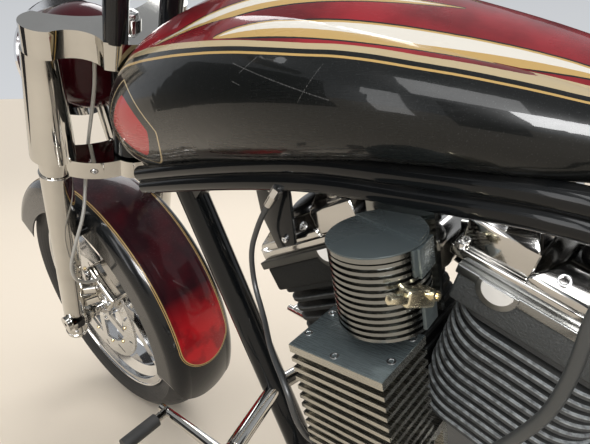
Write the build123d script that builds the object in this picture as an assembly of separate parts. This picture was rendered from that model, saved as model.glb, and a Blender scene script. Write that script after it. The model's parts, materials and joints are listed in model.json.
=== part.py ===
from build123d import *
from math import atan2, cos, degrees, hypot, radians, sin, tan
import os

# Chopper motorcycle parked on its side stand, in millimetres.
# Every piece is drawn on the upright machine: X forward, Y left, Z up, origin on the road under the front
# axle. At the end the whole machine leans to the left and moves to the middle of its own footprint.

# Stance
LEAN = 13.5
WHEELBASE = 1760.0
RUNNING_FIT = 0.08
SEAT_GAP = 0.3

# Front wheel and tyre
FRONT_TYRE_RADIUS = 320.0
FRONT_TYRE_WIDTH = 130.0
FRONT_CROWN_RISE = 40.0
FRONT_RIM_WIDTH = 100.0
FRONT_HUB_RADIUS = 36.0
FRONT_HUB_WIDTH = 136.0
FRONT_SPOKES = 7

# Rear wheel and tyre
REAR_TYRE_RADIUS = 325.0
REAR_TYRE_WIDTH = 236.0
REAR_CROWN_RISE = 50.0
REAR_RIM_WIDTH = 206.0
REAR_HUB_RADIUS = 42.0
REAR_HUB_WIDTH = 240.0
REAR_SPOKES = 7

# Both rims
BEAD_RADIUS = 229.0
FLANGE_RADIUS = 243.0
FLANGE_WALL = 4.0
RIM_WALL = 6.0
DROP_DEPTH = 21.0
TYRE_WALL = 13.0
SPOKE_THICKNESS = 26.0
SPOKE_WIDTH_HUB = 34.0
SPOKE_WIDTH_RIM = 24.0

# Brake discs and axles
FRONT_DISC_RADIUS = 146.0
REAR_DISC_RADIUS = 146.0
DISC_THICKNESS = 6.0
DISC_BAND = 44.0
DISC_SLOTS = 10
FRONT_AXLE_RADIUS = 12.5
REAR_AXLE_RADIUS = 12.5
AXLE_BORE_RADIUS = 5.0
AXLE_BORE_DEPTH = 30.0

# Steering head and fork
RAKE = 29.0
TRAIL = 119.6
LEG_SET_FORWARD = 62.0
LEG_SPREAD = 120.0
LEG_RADIUS_TOP = 29.0
LEG_RADIUS_BOTTOM = 24.0
LEG_TUBE_RADIUS = 20.5
LEG_BOTTOM_HEIGHT = 274.0
STEM_RADIUS = 15.0
NECK_RADIUS = 32.0
NECK_CLEARANCE = 5.5
TOP_CLAMP_HEIGHT = 1052.5
TOP_CLAMP_THICKNESS = 45.0
LOWER_CLAMP_HEIGHT = 808.0
LOWER_CLAMP_THICKNESS = 37.0
CLAMP_END_RADIUS = 27.2
CLAMP_CAP = 10.0
COVER_RADIUS_TOP = 28.0
COVER_RADIUS_BOTTOM = 39.0
RISER_SET_BACK = 36.0
BAR_SET_BACK = 45.0
RISER_SPREAD = 50.0
RISER_RADIUS = 18.5
RISER_LENGTH = 170.0
STEERING_RANGE = 30.0

# Handlebar
BAR_RADIUS = 12.7
BAR_CENTRE_HALF = 130.0
BAR_RISE = 60.0
BAR_PULLBACK = 170.0
BAR_HALF_WIDTH = 400.0
GRIP_RADIUS = 18.0
GRIP_LENGTH = 125.0

# Headlamp
LAMP_RADIUS = 92.5
LAMP_LENGTH = 152.0
LAMP_AHEAD = 132.0
LAMP_FOOT_AHEAD = 52.0
LAMP_HEIGHT = 955.0

# Fenders
FRONT_FENDER_RADIUS = 346.0
FRONT_FENDER_HALF_WIDTH = 85.0
FRONT_FENDER_SKIRT = 50.0
REAR_FENDER_RADIUS = 352.0
REAR_FENDER_HALF_WIDTH = 135.0
REAR_FENDER_SKIRT = 60.0
FENDER_WALL = 4.0
FENDER_SHOULDER = 34.0

# Engine, a 45 degree V-twin
CRANK_X = -917.0
CRANK_Z = 290.0
CYLINDER_ANGLE = 22.5
CASE_RADIUS = 118.0
CASE_HALF_WIDTH = 72.0
DECK_HEIGHT = 168.0
FIN_COUNT = 11
FIN_PITCH = 14.6
FIN_THICKNESS = 5.0
FIN_LENGTH = 180.0
FIN_WIDTH = 164.0
FIN_CORNER = 50.0
BARREL_RADIUS = 66.0
HEAD_HEIGHT = 50.0
ROCKER_HEIGHT = 70.0

# Finned drum and finned cooler on the left of the engine
DRUM_X = -925.0
DRUM_Y = 132.0
DRUM_RADIUS = 47.0
DRUM_BOTTOM = 640.0
DRUM_TOP = 724.0
DRUM_FINS = 12
COOLER_FRONT = -850.0
COOLER_LENGTH = 112.0
COOLER_INNER = 124.0
COOLER_DEPTH = 76.0
COOLER_TOP = 620.0
COOLER_BOTTOM = 452.0
COOLER_FINS = 13
COOLER_FIN_THICKNESS = 5.0

ROCKER_OVERHANG = 25.0
PUSHROD_RADIUS = 10.0
INTAKE_Z = 652.0
PRIMARY_DEPTH = 66.0
PRIMARY_FRONT_RADIUS = 96.0
PRIMARY_REAR_RADIUS = 98.0
GEARBOX_X = -1186.0

# Exhaust pipes on the right
EXHAUST_RADIUS = 28.0
EXHAUST_LEFT = -230.0
FRONT_PIPE_Z = 206.0
REAR_PIPE_Z = 272.0

# Belt drive on the right
BELT_INNER = 133.0
BELT_WIDTH = 24.0
BELT_THICKNESS = 6.0
OUTPUT_X = -1196.0
OUTPUT_Z = 300.0
GEARBOX_PULLEY_RADIUS = 42.0
WHEEL_PULLEY_RADIUS = 100.0

# Brake calipers
CALIPER_DISTANCE = 130.0
CALIPER_HEIGHT = 58.0
CALIPER_SLOT_GAP = 5.0

# Hoses and cables
BRAKE_HOSE_RADIUS = 3.4
CLUTCH_CABLE_RADIUS = 3.5
OIL_HOSE_RADIUS = 5.5

# Footpegs
PEG_X = -592.0
PEG_Z = 272.0
PEG_LEFT = 150.0
PEG_RUBBER_RADIUS = 17.0
PEG_RUBBER_LENGTH = 100.0

# Frame tubes
RAIL_SPREAD = 92.0
RAIL_BEAD_RADIUS = 12.0
RAIL_BEAD_PITCH = 21.0
DOWN_TUBE_RADIUS = 26.0
CRADLE_SPREAD = 110.0
CRADLE_RADIUS = 15.0
SEAT_RAIL_SPREAD = 119.0
SEAT_RAIL_RADIUS = 16.0
SWINGARM_SPREAD = 178.0
SWINGARM_RADIUS = 17.0
POST_X = -1310.0
POST_RADIUS = 17.0
POST_TOP = 664.0
PIVOT_TUBE_Z = 300.0
PIVOT_TUBE_RADIUS = 22.0

# Side stand
STAND_PIVOT_X = -740.0
STAND_PIVOT_Y = 152.0
STAND_PIVOT_Z = 104.0
STAND_FOOT_X = -672.0
STAND_FOOT_Y = 322.0
STAND_PIN_RADIUS = 8.0
STAND_LEG_RADIUS = 11.0

os.makedirs("parts", exist_ok=True)
nodes = {}


# Tools for round bars, bent tubes and places on the fork

def bar(start, end, radius, end_radius=None):
    """A round bar from one point to another, tapered if an end radius is given."""
    start, end = Vector(start), Vector(end)
    length = (end - start).length
    plane = Plane(origin=start, z_dir=(end - start).normalized())
    if end_radius is None:
        return extrude(plane * Circle(radius), length)
    return plane * Pos(0, 0, length / 2) * Cone(radius, end_radius, length)


def bend_radii(points, share=0.45):
    """The largest arc that the two runs beside each corner allow."""
    points = [Vector(p) for p in points]
    radii = []
    for before, corner, after in zip(points, points[1:], points[2:]):
        first, second = corner - before, after - corner
        turn = radians(first.get_angle(second))
        radii.append(share * min(first.length, second.length) / tan(turn / 2))
    return radii


def bent_tube(points, radius, radii=None):
    """A tube along straight runs that tangent arcs join."""
    points = [Vector(p) for p in points]
    if len(points) == 2:
        return bar(points[0], points[1], radius)
    path = FilletPolyline(*points, radius=radii or bend_radii(points))
    start = Plane(origin=path @ 0, z_dir=path % 0)
    return sweep(start * Circle(radius), path=path)


def mirrored(shape):
    """The same piece on the other side of the machine."""
    return mirror(shape, about=Plane.XZ)


def pair(shape):
    """A piece and its mirror image, as one node of two solids."""
    return Compound(children=[shape, mirrored(shape)])


def profile(points):
    """A flat face from a closed run of straight lines, in the plane it is placed on."""
    return make_face(Polyline(*points, close=True))


SIDE = Plane.XZ
FORK = Plane(
    origin=(TRAIL, 0, 0),
    x_dir=(cos(radians(RAKE)), 0, sin(radians(RAKE))),
    z_dir=(-sin(radians(RAKE)), 0, cos(radians(RAKE))),
)


def on_fork(ahead, left, up):
    """A point given by its distances ahead of the stem, to the left and up along it."""
    return FORK.from_local_coords(Vector(ahead, left, up))


def fork_level(up):
    """The plane square to the stem at one height."""
    return Plane(origin=on_fork(0, 0, up), x_dir=FORK.x_dir, z_dir=FORK.z_dir)


def to_fork(x, z):
    """Distance ahead of the stem and height along it of a point in the middle plane."""
    local = FORK.to_local_coords(Vector(x, 0, z))
    return local.X, local.Z


# Ground and axle heights follow from the lean and the crown of each tyre

def crown_radius(width, rise):
    """Radius of a tyre's crown from its width and the rise of the arc."""
    return ((width / 2) ** 2 + rise**2) / (2 * rise)


FRONT_CROWN = crown_radius(FRONT_TYRE_WIDTH, FRONT_CROWN_RISE)
REAR_CROWN = crown_radius(REAR_TYRE_WIDTH, REAR_CROWN_RISE)
LEAN_DROP = (1 - cos(radians(LEAN))) / cos(radians(LEAN))
FRONT_AXLE_Z = FRONT_TYRE_RADIUS
REAR_AXLE_Z = REAR_TYRE_RADIUS + (REAR_CROWN - FRONT_CROWN) * LEAN_DROP


def ground_at(y):
    """Height of the leaned machine's floor at a distance to the left."""
    return y * tan(radians(LEAN)) - FRONT_CROWN * LEAN_DROP


# Wheels

def rim_bead(rim_width):
    """Distance from the middle of the rim to the inside of a flange."""
    return rim_width / 2 - FLANGE_WALL


def tyre(radius, width, rise, rim_width):
    """A hollow tyre with a crowned tread, turned about the Y axis."""
    half = width / 2
    bead = rim_bead(rim_width)
    shoulder = radius - rise
    inner_half = half - TYRE_WALL
    inner_shoulder = shoulder - TYRE_WALL * 0.4
    bulge = (FLANGE_RADIUS + shoulder) / 2
    side_y = (bead + half) / 2 + 3
    left_out = ThreePointArc((bead, FLANGE_RADIUS), (side_y, bulge), (half, shoulder))
    crown = ThreePointArc((half, shoulder), (0, radius), (-half, shoulder))
    right_out = ThreePointArc((-half, shoulder), (-side_y, bulge), (-bead, FLANGE_RADIUS))
    right_bead = Polyline((-bead, FLANGE_RADIUS), (-bead, BEAD_RADIUS), (-bead + 11, BEAD_RADIUS),
                          (-inner_half, inner_shoulder))
    inside = ThreePointArc((-inner_half, inner_shoulder), (0, radius - TYRE_WALL), (inner_half, inner_shoulder))
    left_bead = Polyline((inner_half, inner_shoulder), (bead - 11, BEAD_RADIUS), (bead, BEAD_RADIUS),
                         (bead, FLANGE_RADIUS))
    section = make_face([left_out, crown, right_out, right_bead, inside, left_bead])
    return turned(section)


def turned(section):
    """Turn a section, drawn as (left, radius), about the axle direction Y."""
    standing = Plane(origin=(0, 0, 0), x_dir=(0, 1, 0), z_dir=(1, 0, 0)) * section
    return revolve(standing, Axis.Y, 360)


def rim(rim_width, hub_radius, hub_width, axle_radius, spokes):
    """Rim barrel, spokes and hub in one casting."""
    half = rim_width / 2
    bead = rim_bead(rim_width)
    drop = BEAD_RADIUS - DROP_DEPTH
    barrel = turned(profile([
        (-half, FLANGE_RADIUS), (-bead, FLANGE_RADIUS), (-bead, BEAD_RADIUS), (-bead + 12, BEAD_RADIUS),
        (-bead + 26, drop), (bead - 26, drop), (bead - 12, BEAD_RADIUS), (bead, BEAD_RADIUS),
        (bead, FLANGE_RADIUS), (half, FLANGE_RADIUS), (half, BEAD_RADIUS - RIM_WALL),
        (bead - 9, BEAD_RADIUS - RIM_WALL), (bead - 23, drop - RIM_WALL), (23 - bead, drop - RIM_WALL),
        (9 - bead, BEAD_RADIUS - RIM_WALL), (-half, BEAD_RADIUS - RIM_WALL),
    ]))
    hub = turned(profile([
        (-hub_width / 2, 0), (-hub_width / 2, hub_radius * 0.7), (-hub_width / 2 + 12, hub_radius * 0.7),
        (-hub_width / 2 + 20, hub_radius), (hub_width / 2 - 20, hub_radius),
        (hub_width / 2 - 12, hub_radius * 0.7), (hub_width / 2, hub_radius * 0.7), (hub_width / 2, 0),
    ]))
    reach = drop - RIM_WALL / 2
    blade = extrude(SIDE * profile([
        (-SPOKE_WIDTH_HUB / 2, 0), (SPOKE_WIDTH_HUB / 2, 0),
        (SPOKE_WIDTH_RIM / 2, reach), (-SPOKE_WIDTH_RIM / 2, reach),
    ]), SPOKE_THICKNESS / 2, both=True)
    body = barrel + hub
    for index in range(spokes):
        body += Rot(Y=360 / spokes * index) * blade
    bore = Rot(X=90) * Cylinder(axle_radius + RUNNING_FIT, hub_width + 2)
    return body - bore


def brake_disc(radius, hub_radius, side, hub_width):
    """A slotted disc bolted flat to one end of the hub."""
    inner = hub_radius * 0.7
    ring = Circle(radius) - Circle(radius - DISC_BAND)
    slot = Pos(radius - DISC_BAND / 2, 0) * Rot(0, 0, 38) * SlotOverall(DISC_BAND * 0.7, 5)
    for index in range(DISC_SLOTS):
        ring -= Rot(0, 0, 360 / DISC_SLOTS * index) * slot
    carrier = Circle(hub_radius + 6) - Circle(inner)
    arms = Sketch()
    for index in range(5):
        arms += Rot(0, 0, 72 * index) * Pos((radius - DISC_BAND / 2) / 2 + 12, 0) * Rectangle(radius - DISC_BAND, 20)
    arms -= Circle(inner)
    arms = arms & Circle(radius - DISC_BAND / 2)
    flat = ring + carrier + arms
    place = Plane(origin=(0, side * (hub_width / 2 - 12), 0), x_dir=(1, 0, 0), z_dir=(0, side, 0))
    return extrude(place * flat, DISC_THICKNESS)


front_axle_place = Pos(0, 0, FRONT_AXLE_Z)
rear_axle_place = Pos(-WHEELBASE, 0, REAR_AXLE_Z)

nodes["front_tyre"] = front_axle_place * tyre(
    FRONT_TYRE_RADIUS, FRONT_TYRE_WIDTH, FRONT_CROWN_RISE, FRONT_RIM_WIDTH)
nodes["front_rim"] = front_axle_place * rim(
    FRONT_RIM_WIDTH, FRONT_HUB_RADIUS, FRONT_HUB_WIDTH, FRONT_AXLE_RADIUS, FRONT_SPOKES)
nodes["rear_tyre"] = rear_axle_place * tyre(
    REAR_TYRE_RADIUS, REAR_TYRE_WIDTH, REAR_CROWN_RISE, REAR_RIM_WIDTH)
nodes["rear_rim"] = rear_axle_place * rim(
    REAR_RIM_WIDTH, REAR_HUB_RADIUS, REAR_HUB_WIDTH, REAR_AXLE_RADIUS, REAR_SPOKES)
nodes["front_disc"] = front_axle_place * brake_disc(
    FRONT_DISC_RADIUS, FRONT_HUB_RADIUS, 1, FRONT_HUB_WIDTH)
nodes["rear_disc"] = rear_axle_place * brake_disc(
    REAR_DISC_RADIUS, REAR_HUB_RADIUS, 1, REAR_HUB_WIDTH)


# Fork: two clamps on a stem, two legs with covers between the clamps

TOP_CLAMP_UNDERSIDE = TOP_CLAMP_HEIGHT - TOP_CLAMP_THICKNESS / 2
TOP_CLAMP_FACE = TOP_CLAMP_HEIGHT + TOP_CLAMP_THICKNESS / 2
LOWER_CLAMP_UNDERSIDE = LOWER_CLAMP_HEIGHT - LOWER_CLAMP_THICKNESS / 2
LOWER_CLAMP_FACE = LOWER_CLAMP_HEIGHT + LOWER_CLAMP_THICKNESS / 2


def clamp_plan(outline):
    """The waisted outline of a fork clamp, round at both legs, with a lobe behind the stem."""
    front_middle, front_in, crest, back_in, waist, lobe, tail = (
        (LEG_SET_FORWARD + ahead, (LEG_SPREAD + left) if left is not None else 0) for ahead, left in outline)

    def other(point):
        return point[0], -point[1]

    return make_face([
        ThreePointArc(front_in, front_middle, other(front_in)),
        ThreePointArc(other(front_in), other(crest), other(back_in)),
        ThreePointArc(other(back_in), other(waist), other(lobe)),
        ThreePointArc(other(lobe), tail, lobe),
        ThreePointArc(lobe, waist, back_in),
        ThreePointArc(back_in, crest, front_in),
    ])


# Clamp outlines from the leg: front middle, front inside, crest, back inside, waist, lobe and tail,
# each as (ahead, left), with None on the middle line
TOP_CLAMP_OUTLINE = [(-26, None), (26, -10), (-6, 28), (-44, 4), (-56, -36), (-100, -48), (-132, None)]
LOWER_CLAMP_OUTLINE = [(-16, None), (22, -16), (8, 26), (-26, -8), (-50, -28), (-78, -86), (-102, None)]


def leg_place(up, side=1):
    """The place of one fork leg at a height along the stem."""
    return fork_level(up) * Pos(LEG_SET_FORWARD, side * LEG_SPREAD, 0)


def fork_leg():
    """The left leg: a tapered slider with a seal ring, and the fork tube above it."""
    top = LOWER_CLAMP_UNDERSIDE
    slider = leg_place((LEG_BOTTOM_HEIGHT + top) / 2) * Cone(
        LEG_RADIUS_BOTTOM, LEG_RADIUS_TOP, top - LEG_BOTTOM_HEIGHT)
    tube_top = TOP_CLAMP_FACE - CLAMP_CAP
    tube = leg_place((top + tube_top) / 2) * Cylinder(LEG_TUBE_RADIUS, tube_top - top)
    foot = leg_place(LEG_BOTTOM_HEIGHT - 5) * Cone(LEG_RADIUS_BOTTOM - 7, LEG_RADIUS_BOTTOM, 10)
    boss = Pos(0, LEG_SPREAD, FRONT_AXLE_Z) * Rot(X=90) * Cylinder(FRONT_AXLE_RADIUS + 11, 44)
    return slider + tube + foot + boss - front_axle


front_axle = Pos(0, 0, FRONT_AXLE_Z) * Rot(X=90) * Cylinder(FRONT_AXLE_RADIUS, 2 * (LEG_SPREAD + 26))
legs = pair(fork_leg())
axle_end = LEG_SPREAD + 22
for side in (1, -1):
    cap = Pos(0, side * (axle_end + 5), FRONT_AXLE_Z) * Rot(X=90) * Cylinder(FRONT_AXLE_RADIUS + 6, 10)
    spacer_inner = FRONT_HUB_WIDTH / 2 + 4
    spacer_outer = LEG_SPREAD - 22
    spacer = Pos(0, side * (spacer_inner + spacer_outer) / 2, FRONT_AXLE_Z) * Rot(X=90) * Cylinder(
        FRONT_AXLE_RADIUS + 6, spacer_outer - spacer_inner)
    bore = Pos(0, side * (axle_end + 10), FRONT_AXLE_Z) * Rot(X=90) * Cylinder(
        AXLE_BORE_RADIUS, 2 * AXLE_BORE_DEPTH)
    front_axle = front_axle + cap + spacer - bore
nodes["front_axle"] = front_axle
nodes["fork_legs"] = legs - front_axle

top_clamp = extrude(fork_level(TOP_CLAMP_UNDERSIDE) * clamp_plan(TOP_CLAMP_OUTLINE), TOP_CLAMP_THICKNESS)
lower_clamp = extrude(fork_level(LOWER_CLAMP_UNDERSIDE) * clamp_plan(LOWER_CLAMP_OUTLINE), LOWER_CLAMP_THICKNESS)
stem_top = TOP_CLAMP_FACE - CLAMP_CAP
stem = fork_level((LOWER_CLAMP_UNDERSIDE + stem_top) / 2) * Cylinder(STEM_RADIUS, stem_top - LOWER_CLAMP_UNDERSIDE)
pinch_holes = Compound(children=[
    Plane(origin=on_fork(0, side * (LEG_SPREAD - 42), LOWER_CLAMP_HEIGHT), x_dir=(0, 1, 0),
          z_dir=FORK.x_dir) * Cylinder(6, 200) for side in (1, -1)])
stem_nut = fork_level(TOP_CLAMP_FACE + 5) * Cylinder(STEM_RADIUS + 3, 10)
nodes["top_clamp"] = top_clamp + stem_nut - legs - stem
lower_clamp = lower_clamp + stem - legs - pinch_holes

cover_mid = (LOWER_CLAMP_FACE + TOP_CLAMP_UNDERSIDE) / 2
cover_length = TOP_CLAMP_UNDERSIDE - LOWER_CLAMP_FACE
cover = leg_place(cover_mid) * (Cone(COVER_RADIUS_BOTTOM, COVER_RADIUS_TOP, cover_length)
                                - Cylinder(LEG_TUBE_RADIUS, cover_length))
nodes["fork_covers"] = pair(cover)

# Risers and handlebar

riser_top = TOP_CLAMP_FACE + RISER_LENGTH
riser = bar(on_fork(-RISER_SET_BACK, RISER_SPREAD, TOP_CLAMP_FACE - 2),
            on_fork(-BAR_SET_BACK, RISER_SPREAD, riser_top), RISER_RADIUS)
bridge_set_back = (RISER_SET_BACK + BAR_SET_BACK) / 2
bridge = extrude(fork_level(riser_top - RISER_LENGTH / 2) * profile([
    (-bridge_set_back - 9, -RISER_SPREAD), (-bridge_set_back + 9, -RISER_SPREAD),
    (-bridge_set_back + 9, RISER_SPREAD), (-bridge_set_back - 9, RISER_SPREAD)]), 60)
bar_middle = on_fork(-BAR_SET_BACK, 0, riser_top)
bar_x, bar_z = bar_middle.X, bar_middle.Z
bar_route = [
    (bar_x - BAR_PULLBACK, BAR_HALF_WIDTH, bar_z + BAR_RISE),
    (bar_x - BAR_PULLBACK * 0.25, BAR_HALF_WIDTH * 0.66, bar_z + BAR_RISE + 8),
    (bar_x, BAR_CENTRE_HALF, bar_z),
    (bar_x, -BAR_CENTRE_HALF, bar_z),
    (bar_x - BAR_PULLBACK * 0.25, -BAR_HALF_WIDTH * 0.66, bar_z + BAR_RISE + 8),
    (bar_x - BAR_PULLBACK, -BAR_HALF_WIDTH, bar_z + BAR_RISE),
]
handlebar = bent_tube(bar_route, BAR_RADIUS, [60, 60, 60, 60])
nodes["handlebar"] = handlebar
nodes["risers"] = riser + mirrored(riser) + bridge - handlebar - nodes["top_clamp"]

bar_end = Vector(bar_route[0])
bar_inward = (Vector(bar_route[1]) - bar_end).normalized()
grip = bar(bar_end - bar_inward * 6, bar_end + bar_inward * GRIP_LENGTH, GRIP_RADIUS) - handlebar
nodes["grips"] = pair(grip)

perch_start = bar_end + bar_inward * (GRIP_LENGTH + 4)
perch = bar(perch_start, perch_start + bar_inward * 34, BAR_RADIUS + 9)
lever_ahead = Vector(44, 0, 6)
lever_root = perch_start + bar_inward * 17 + lever_ahead
lever_tip = bar_end + bar_inward * 10 + lever_ahead + Vector(10, 0, 0)
lever = bar(perch_start + bar_inward * 17, lever_root, 10) + bar(lever_root, lever_tip, 9, 6) + Pos(lever_tip) * Sphere(8)
reservoir = Pos(perch_start + bar_inward * 17 + Vector(22, 0, 26)) * Box(46, 40, 26)
levers_left = perch + lever + reservoir - handlebar

# Headlamp

lamp_centre = on_fork(LAMP_AHEAD, 0, LAMP_HEIGHT)
lamp_back = LAMP_RADIUS * 1.02
lamp_front = LAMP_LENGTH - lamp_back
LAMP_AXIS = Plane(origin=lamp_centre, x_dir=(1, 0, 0), z_dir=(0, -1, 0))


def about_lamp_axis(edges):
    """Turn a half section, drawn as (ahead, out), about the headlamp's own axis."""
    axis = Axis(origin=lamp_centre, direction=(1, 0, 0))
    return revolve(LAMP_AXIS * make_face(edges), axis, 360)


diagonal = 0.7071
shell = about_lamp_axis([
    ThreePointArc((-lamp_back, 0), (-lamp_back * diagonal, LAMP_RADIUS * diagonal), (0, LAMP_RADIUS)),
    Polyline((0, LAMP_RADIUS), (lamp_front - 22, LAMP_RADIUS - 4), (lamp_front - 22, 0), (-lamp_back, 0)),
])
bezel = about_lamp_axis([Polyline(
    (lamp_front - 22, LAMP_RADIUS - 14), (lamp_front - 22, LAMP_RADIUS + 1), (lamp_front - 6, LAMP_RADIUS + 1),
    (lamp_front, LAMP_RADIUS - 6), (lamp_front, LAMP_RADIUS - 14), close=True)])
lens_rise, lens_radius = 12.0, LAMP_RADIUS - 14
lens_tip, lens_edge = lamp_front + lens_rise - 4, lamp_front - 4
lens_crown = crown_radius(2 * lens_radius, lens_rise)
half_angle = atan2(lens_radius, lens_crown - lens_rise) / 2
lens_middle = (lens_tip - lens_crown * (1 - cos(half_angle)), lens_crown * sin(half_angle))
lens = about_lamp_axis([
    Polyline((lens_tip, 0), (lamp_front - 22, 0), (lamp_front - 22, lens_radius), (lens_edge, lens_radius)),
    ThreePointArc((lens_edge, lens_radius), lens_middle, (lens_tip, 0)),
])
nodes["headlamp_shell"] = shell
nodes["headlamp_bezel"] = bezel
nodes["headlamp_lens"] = lens
lamp_arm_end = on_fork(LAMP_FOOT_AHEAD, 0, LOWER_CLAMP_HEIGHT)
lamp_arm = bar(on_fork(LEG_SET_FORWARD - 30, 0, LOWER_CLAMP_HEIGHT), lamp_arm_end, 11)
lamp_post = bar(lamp_arm_end - Vector(0, 0, 6), lamp_centre, 13)
nodes["lower_clamp"] = lower_clamp + (lamp_arm + lamp_post - shell)

# Fenders


def fender_section(half_width, radius, skirt, wall):
    """A rounded channel drawn as (left, radius), open towards the tyre."""
    shoulder = FENDER_SHOULDER
    crown = 6.0

    def outline(offset):
        half, top, bend = half_width - offset, radius - offset, shoulder - offset
        cut = bend * (1 - diagonal)
        return [
            (half, radius - skirt - shoulder), (half, top - bend - crown), (half - cut, top - crown - cut),
            (half - bend, top - crown), (0, top)]

    out, inn = outline(0), outline(wall)

    def flip(point):
        return -point[0], point[1]

    return make_face([
        Line(out[0], out[1]), ThreePointArc(out[1], out[2], out[3]), ThreePointArc(out[3], out[4], flip(out[3])),
        ThreePointArc(flip(out[3]), flip(out[2]), flip(out[1])), Line(flip(out[1]), flip(out[0])),
        Line(flip(out[0]), flip(inn[0])), Line(flip(inn[0]), flip(inn[1])),
        ThreePointArc(flip(inn[1]), flip(inn[2]), flip(inn[3])), ThreePointArc(flip(inn[3]), inn[4], inn[3]),
        ThreePointArc(inn[3], inn[2], inn[1]), Line(inn[1], inn[0]), Line(inn[0], out[0]),
    ])


def fender(half_width, radius, skirt, start, stop, tip_radius, round_front):
    """A fender about the axle line, between two angles measured up from straight ahead."""
    standing = Plane(origin=(0, 0, 0), x_dir=(0, 1, 0), z_dir=(1, 0, 0)) * fender_section(
        half_width, radius, skirt, FENDER_WALL)
    body = revolve(Rot(Y=90 - stop) * standing, Axis.Y, stop - start)
    step = degrees(tip_radius / radius)
    body -= tip_cutter(stop - step, 1, half_width, radius, tip_radius)
    if round_front:
        body -= tip_cutter(start + step, -1, half_width, radius, tip_radius)
    return body


def tip_cutter(angle, way, half_width, radius, tip_radius):
    """What is trimmed off a fender's end so that it finishes in a round tongue."""
    reach = 1.6 * tip_radius
    block = Pos(radius, 0, way * reach / 2) * Box(radius * 1.2, 2.4 * half_width, reach)
    tongue = Pos(radius, 0, 0) * Rot(Y=90) * Cylinder(tip_radius, radius * 1.2)
    return Rot(Y=-angle) * (block - tongue)


front_fender = front_axle_place * fender(
    FRONT_FENDER_HALF_WIDTH, FRONT_FENDER_RADIUS, FRONT_FENDER_SKIRT, 30, 212, FRONT_FENDER_HALF_WIDTH + 1, True)
fender_bosses = []
for up in (276, 306):
    ahead, level = to_fork(0, FRONT_AXLE_Z)
    centre = on_fork(ahead + 4, 0, level + up)
    fender_bosses.append(Pos(centre.X, LEG_SPREAD - 32, centre.Z) * Rot(X=90) * Cylinder(9, 20))
boss_left = fender_bosses[0] + fender_bosses[1] - legs
nodes["front_fender"] = front_fender + (boss_left - front_fender) + mirrored(boss_left - front_fender)

rear_fender = rear_axle_place * fender(
    REAR_FENDER_HALF_WIDTH, REAR_FENDER_RADIUS, REAR_FENDER_SKIRT, 64, 180, REAR_FENDER_HALF_WIDTH + 40, False)
nodes["rear_fender"] = rear_fender


# Frame: steering neck, twin-bead rails, down tube, cradle, posts and stays

NECK_BOTTOM = LOWER_CLAMP_FACE + NECK_CLEARANCE
NECK_TOP = TOP_CLAMP_UNDERSIDE - NECK_CLEARANCE
neck_middle = (NECK_BOTTOM + NECK_TOP) / 2
neck = fork_level(neck_middle) * Cylinder(NECK_RADIUS, NECK_TOP - NECK_BOTTOM)
neck_bore = fork_level(neck_middle) * Cylinder(STEM_RADIUS + RUNNING_FIT, 400)

# Side view of a rail's upper bead, as (x, z)
RAIL_ROUTE = [(-462, 727), (-570, 744), (-700, 762), (-830, 775), (-1085, 768), (-1200, 738), (-1330, 668), (-1490, 648)]


def frame_rail():
    """The left rail: two round beads, one above the other, along one route."""
    points = [Vector(x, RAIL_SPREAD, z) for x, z in RAIL_ROUTE]
    path = FilletPolyline(*points, radius=bend_radii(points))
    start = Plane(origin=path @ 0, x_dir=(0, 1, 0), z_dir=path % 0)
    toward = 1 if start.y_dir.Z > 0 else -1
    beads = (Circle(RAIL_BEAD_RADIUS) + Pos(0, -toward * RAIL_BEAD_PITCH) * Circle(RAIL_BEAD_RADIUS)
             + Pos(0, -toward * RAIL_BEAD_PITCH / 2) * Rectangle(RAIL_BEAD_RADIUS, RAIL_BEAD_PITCH))
    return sweep(start * beads, path=path)


rails = pair(frame_rail())
cross_tube = bar((-1474, -REAR_FENDER_HALF_WIDTH, 637), (-1474, REAR_FENDER_HALF_WIDTH, 637), 15)
nodes["frame_rails"] = rails + cross_tube

down_tube_top, down_tube_bottom = (-431, 0, 715), (-577, 0, 146)
neck_web = extrude(SIDE * profile([
    (-318, 723), (-341, 701), (-400, 668), (-455, 640), (-520, 690), (-560, 735), (-470, 752), (-355, 800)]),
    15, both=True)
neck_bridge = bar((-470, -RAIL_SPREAD, 716), (-470, RAIL_SPREAD, 716), 14)
neck_core = neck + neck_web + neck_bridge - neck_bore - rails
down_tube = bar(down_tube_top, down_tube_bottom, DOWN_TUBE_RADIUS)
nodes["down_tube"] = down_tube
nodes["steering_neck"] = neck_core - down_tube

cradle_route = [(-574, 8, 138), (-622, CRADLE_SPREAD * 0.82, 116), (-700, CRADLE_SPREAD, 112), (-1292, CRADLE_SPREAD, 112)]
cradle = bent_tube(cradle_route, CRADLE_RADIUS)
half_space = Pos(0, 500, 0) * Box(6000, 1000, 3000)
cradle = (cradle & half_space) - down_tube

seat_post = bent_tube([
    (POST_X + 4, CRADLE_SPREAD, 96), (POST_X - 2, CRADLE_SPREAD, PIVOT_TUBE_Z),
    (POST_X + 26, RAIL_SPREAD + 8, POST_TOP)], POST_RADIUS)
pivot_tube = bar((POST_X, -140, PIVOT_TUBE_Z), (POST_X, 140, PIVOT_TUBE_Z), PIVOT_TUBE_RADIUS)
oil_shelf = Pos(POST_X + 10, 0, 399) * Box(50, 2 * CRADLE_SPREAD, 6)
posts = seat_post + mirrored(seat_post) + pivot_tube + oil_shelf
nodes["seat_posts"] = posts - rails
cradle = cradle - seat_post
cradles = pair(cradle)

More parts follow.
